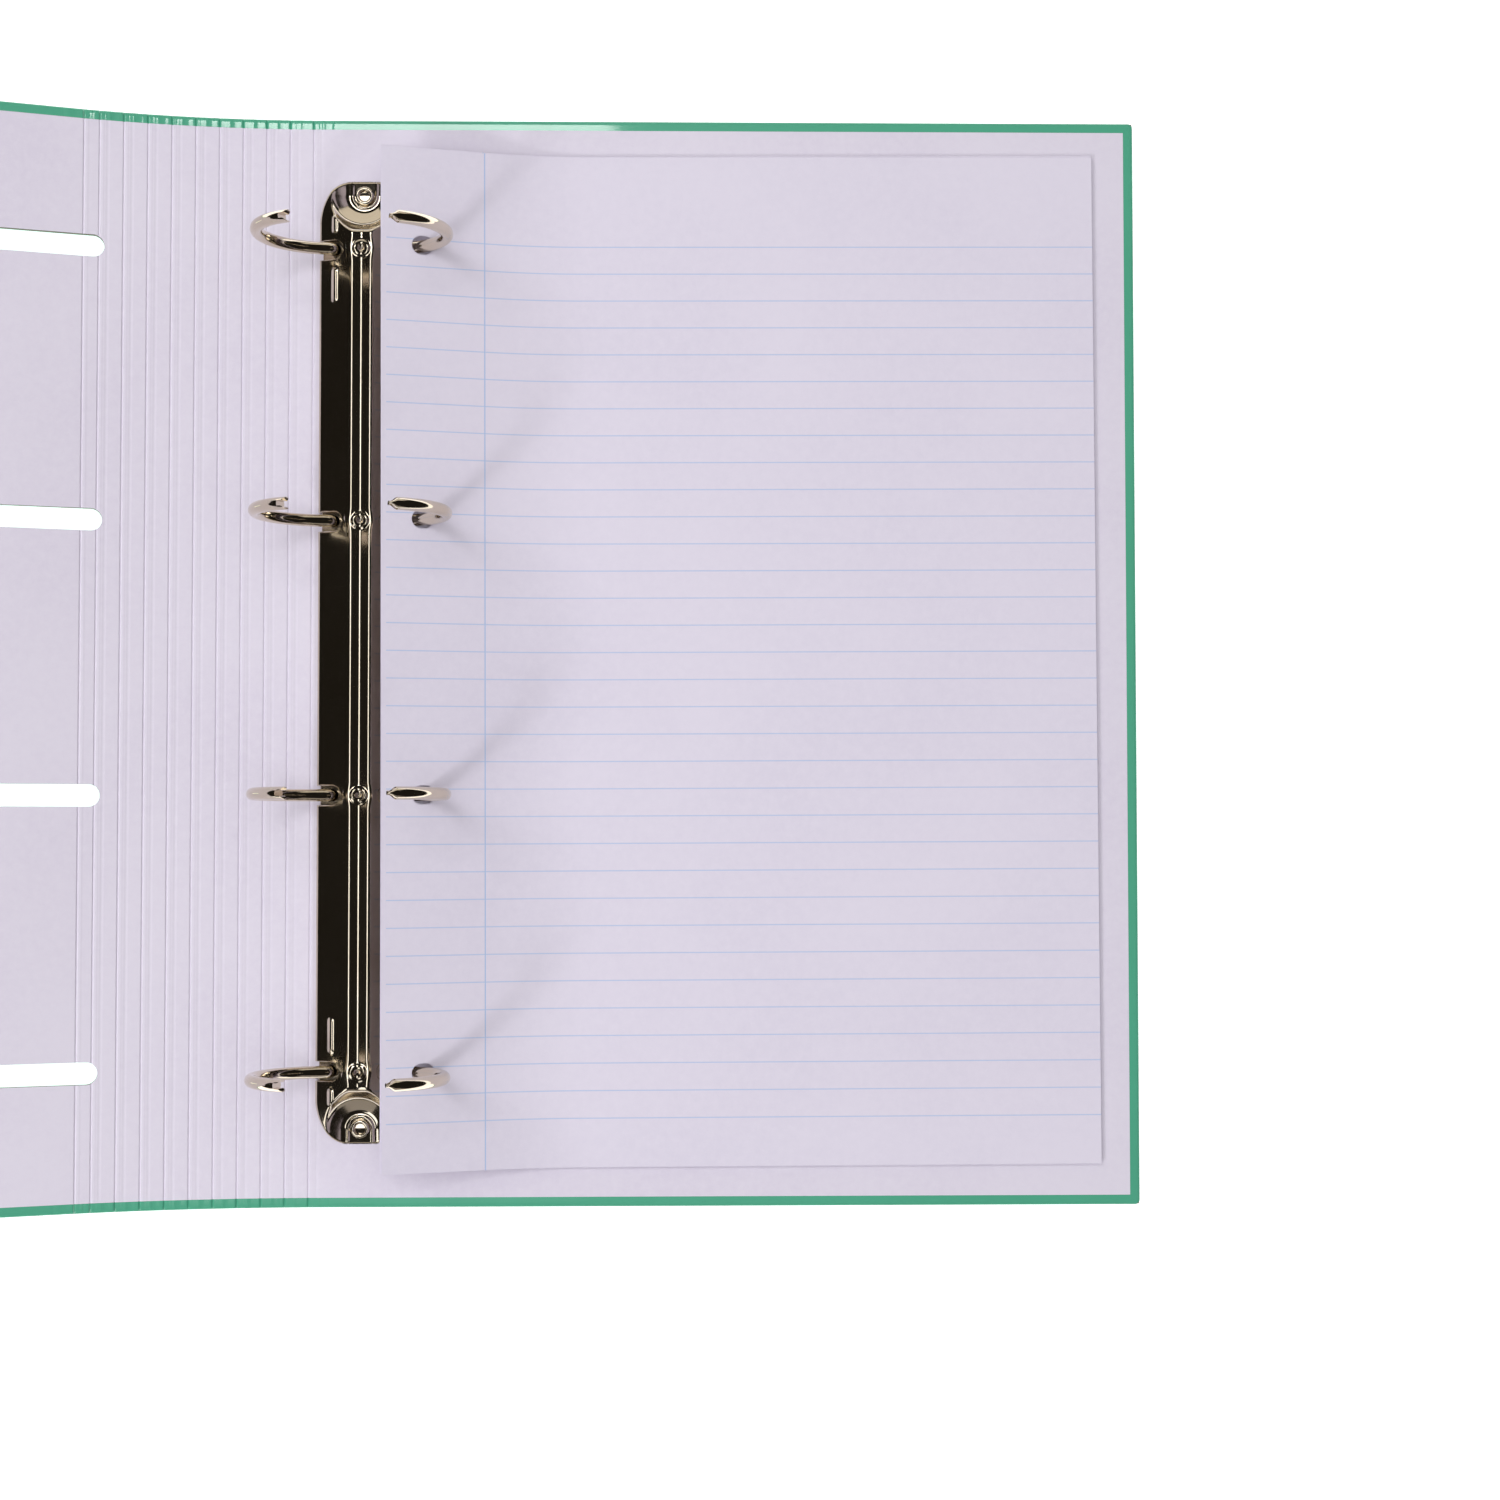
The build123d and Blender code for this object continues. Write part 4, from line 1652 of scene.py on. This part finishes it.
# ---------------------------------------------------------------------------
# The whole binder
# ---------------------------------------------------------------------------
def fold_lines(tilt_total: float, margin: float) -> list[Crease]:
    """Reads the creases from the frame's joints.

    Args:
        tilt_total: tilt of the front cover, in radians.
        margin: how far the first and last fold pieces reach onto the flat covers.

    Returns:
        The creases, numbered from the back cover.
    """
    joints = [joint for joint in frame["joints"] if joint["name"].startswith("crease_")]
    joints.sort(key=lambda joint: int(joint["name"].split("_")[1]))
    spots = [np.array(joint["pos_m"]) / METRES for joint in joints]
    gaps = [float(np.linalg.norm(b - a)) / 2 for a, b in zip(spots, spots[1:])]
    step = tilt_total / len(joints)
    lines = []
    for number, (joint, spot) in enumerate(zip(joints, spots), start=1):
        lines.append(
            Crease(
                number, float(spot[0]), float(spot[2]), (number - 1) * step, number * step,
                ([margin] + gaps)[number - 1], (gaps + [margin])[number - 1],
                joint["parent"], joint["child"],
            )
        )
    return lines


def dress_cad_nodes(finishes: dict[str, bpy.types.Material]) -> None:
    """Gives every CAD node a finish.

    Args:
        finishes: material by the last word of the node's name.
    """
    for name, node in frame["nodes"].items():
        material = finishes.get(name.split("_")[-1], finishes["board"])
        node.data.materials.clear()
        node.data.materials.append(material)


def main() -> None:
    """Builds the binder piece by piece, then the studio."""
    logging.basicConfig(level=logging.INFO, format="%(name)s: %(message)s")
    wrap = GreenLaminate().material()
    lining = LiningPaper().material()
    board = GreyBoard().material()
    steel = NickelPlate("nickel_plated_pressed_steel").material()
    wire = NickelPlate("nickel_plated_steel_wire", roughness=0.07, drawn=(1.0, 1.0, 1.0)).material()
    blade = NickelPlate("nickel_plated_steel_strip", colour="#CFC6B8", roughness=0.22).material()
    paper = RuledPaper().material()
    dress_cad_nodes({"board": board, "blade": blade})

    low, high = (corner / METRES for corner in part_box("housing"))
    mechanism = (low.x + high.x) / 2
    rows = tuple(
        sum(corner.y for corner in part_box(f"left_half_ring_{number}")) / 2 / METRES
        for number in (4, 3, 2, 1)
    )
    rivet_row = high.y - RIVET_FROM_END
    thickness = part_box("back_lining")[1].z / METRES
    half_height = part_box("back_wrap")[1].y / METRES
    creases = fold_lines(FRONT_TILT, Cover.flat_margin)
    first, last = creases[0], creases[-1]
    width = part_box("back_wrap")[1].x / METRES - first.x
    panels = [
        Panel("back_cover", "back_cover", first.x, 0.0, 0.0, 1),
        Panel("front_cover", "front_cover", last.x, last.z, last.left_tilt, -1),
    ]
    Cover(
        wrap, lining, width, half_height, thickness, mechanism, rows, rivet_row, panels, creases
    ).build()
    Housing(
        steel, mechanism, thickness, (high.x - low.x) / 2, high.y, rows, rivet_row
    ).build()
    Rivets(wire, mechanism, (-rivet_row, rivet_row), thickness + Housing.dish_floor).build()
    for side in Side:
        for number, row in enumerate(reversed(rows), start=1):
            HalfRing(wire, side, mechanism, thickness).build(number, row)
    paper_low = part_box("filed_paper")[0].x / METRES
    slope, half_stack = PaperStack.slope, PaperStack.thickness / 2
    edge_x = paper_low + half_stack * math.sin(slope)
    start_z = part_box("filed_paper")[1].z / METRES - thickness - half_stack * math.cos(slope)
    PaperStack(paper, edge_x, start_z, thickness, rows).build()
    Studio().build()


if __name__ == "__main__":
    main()
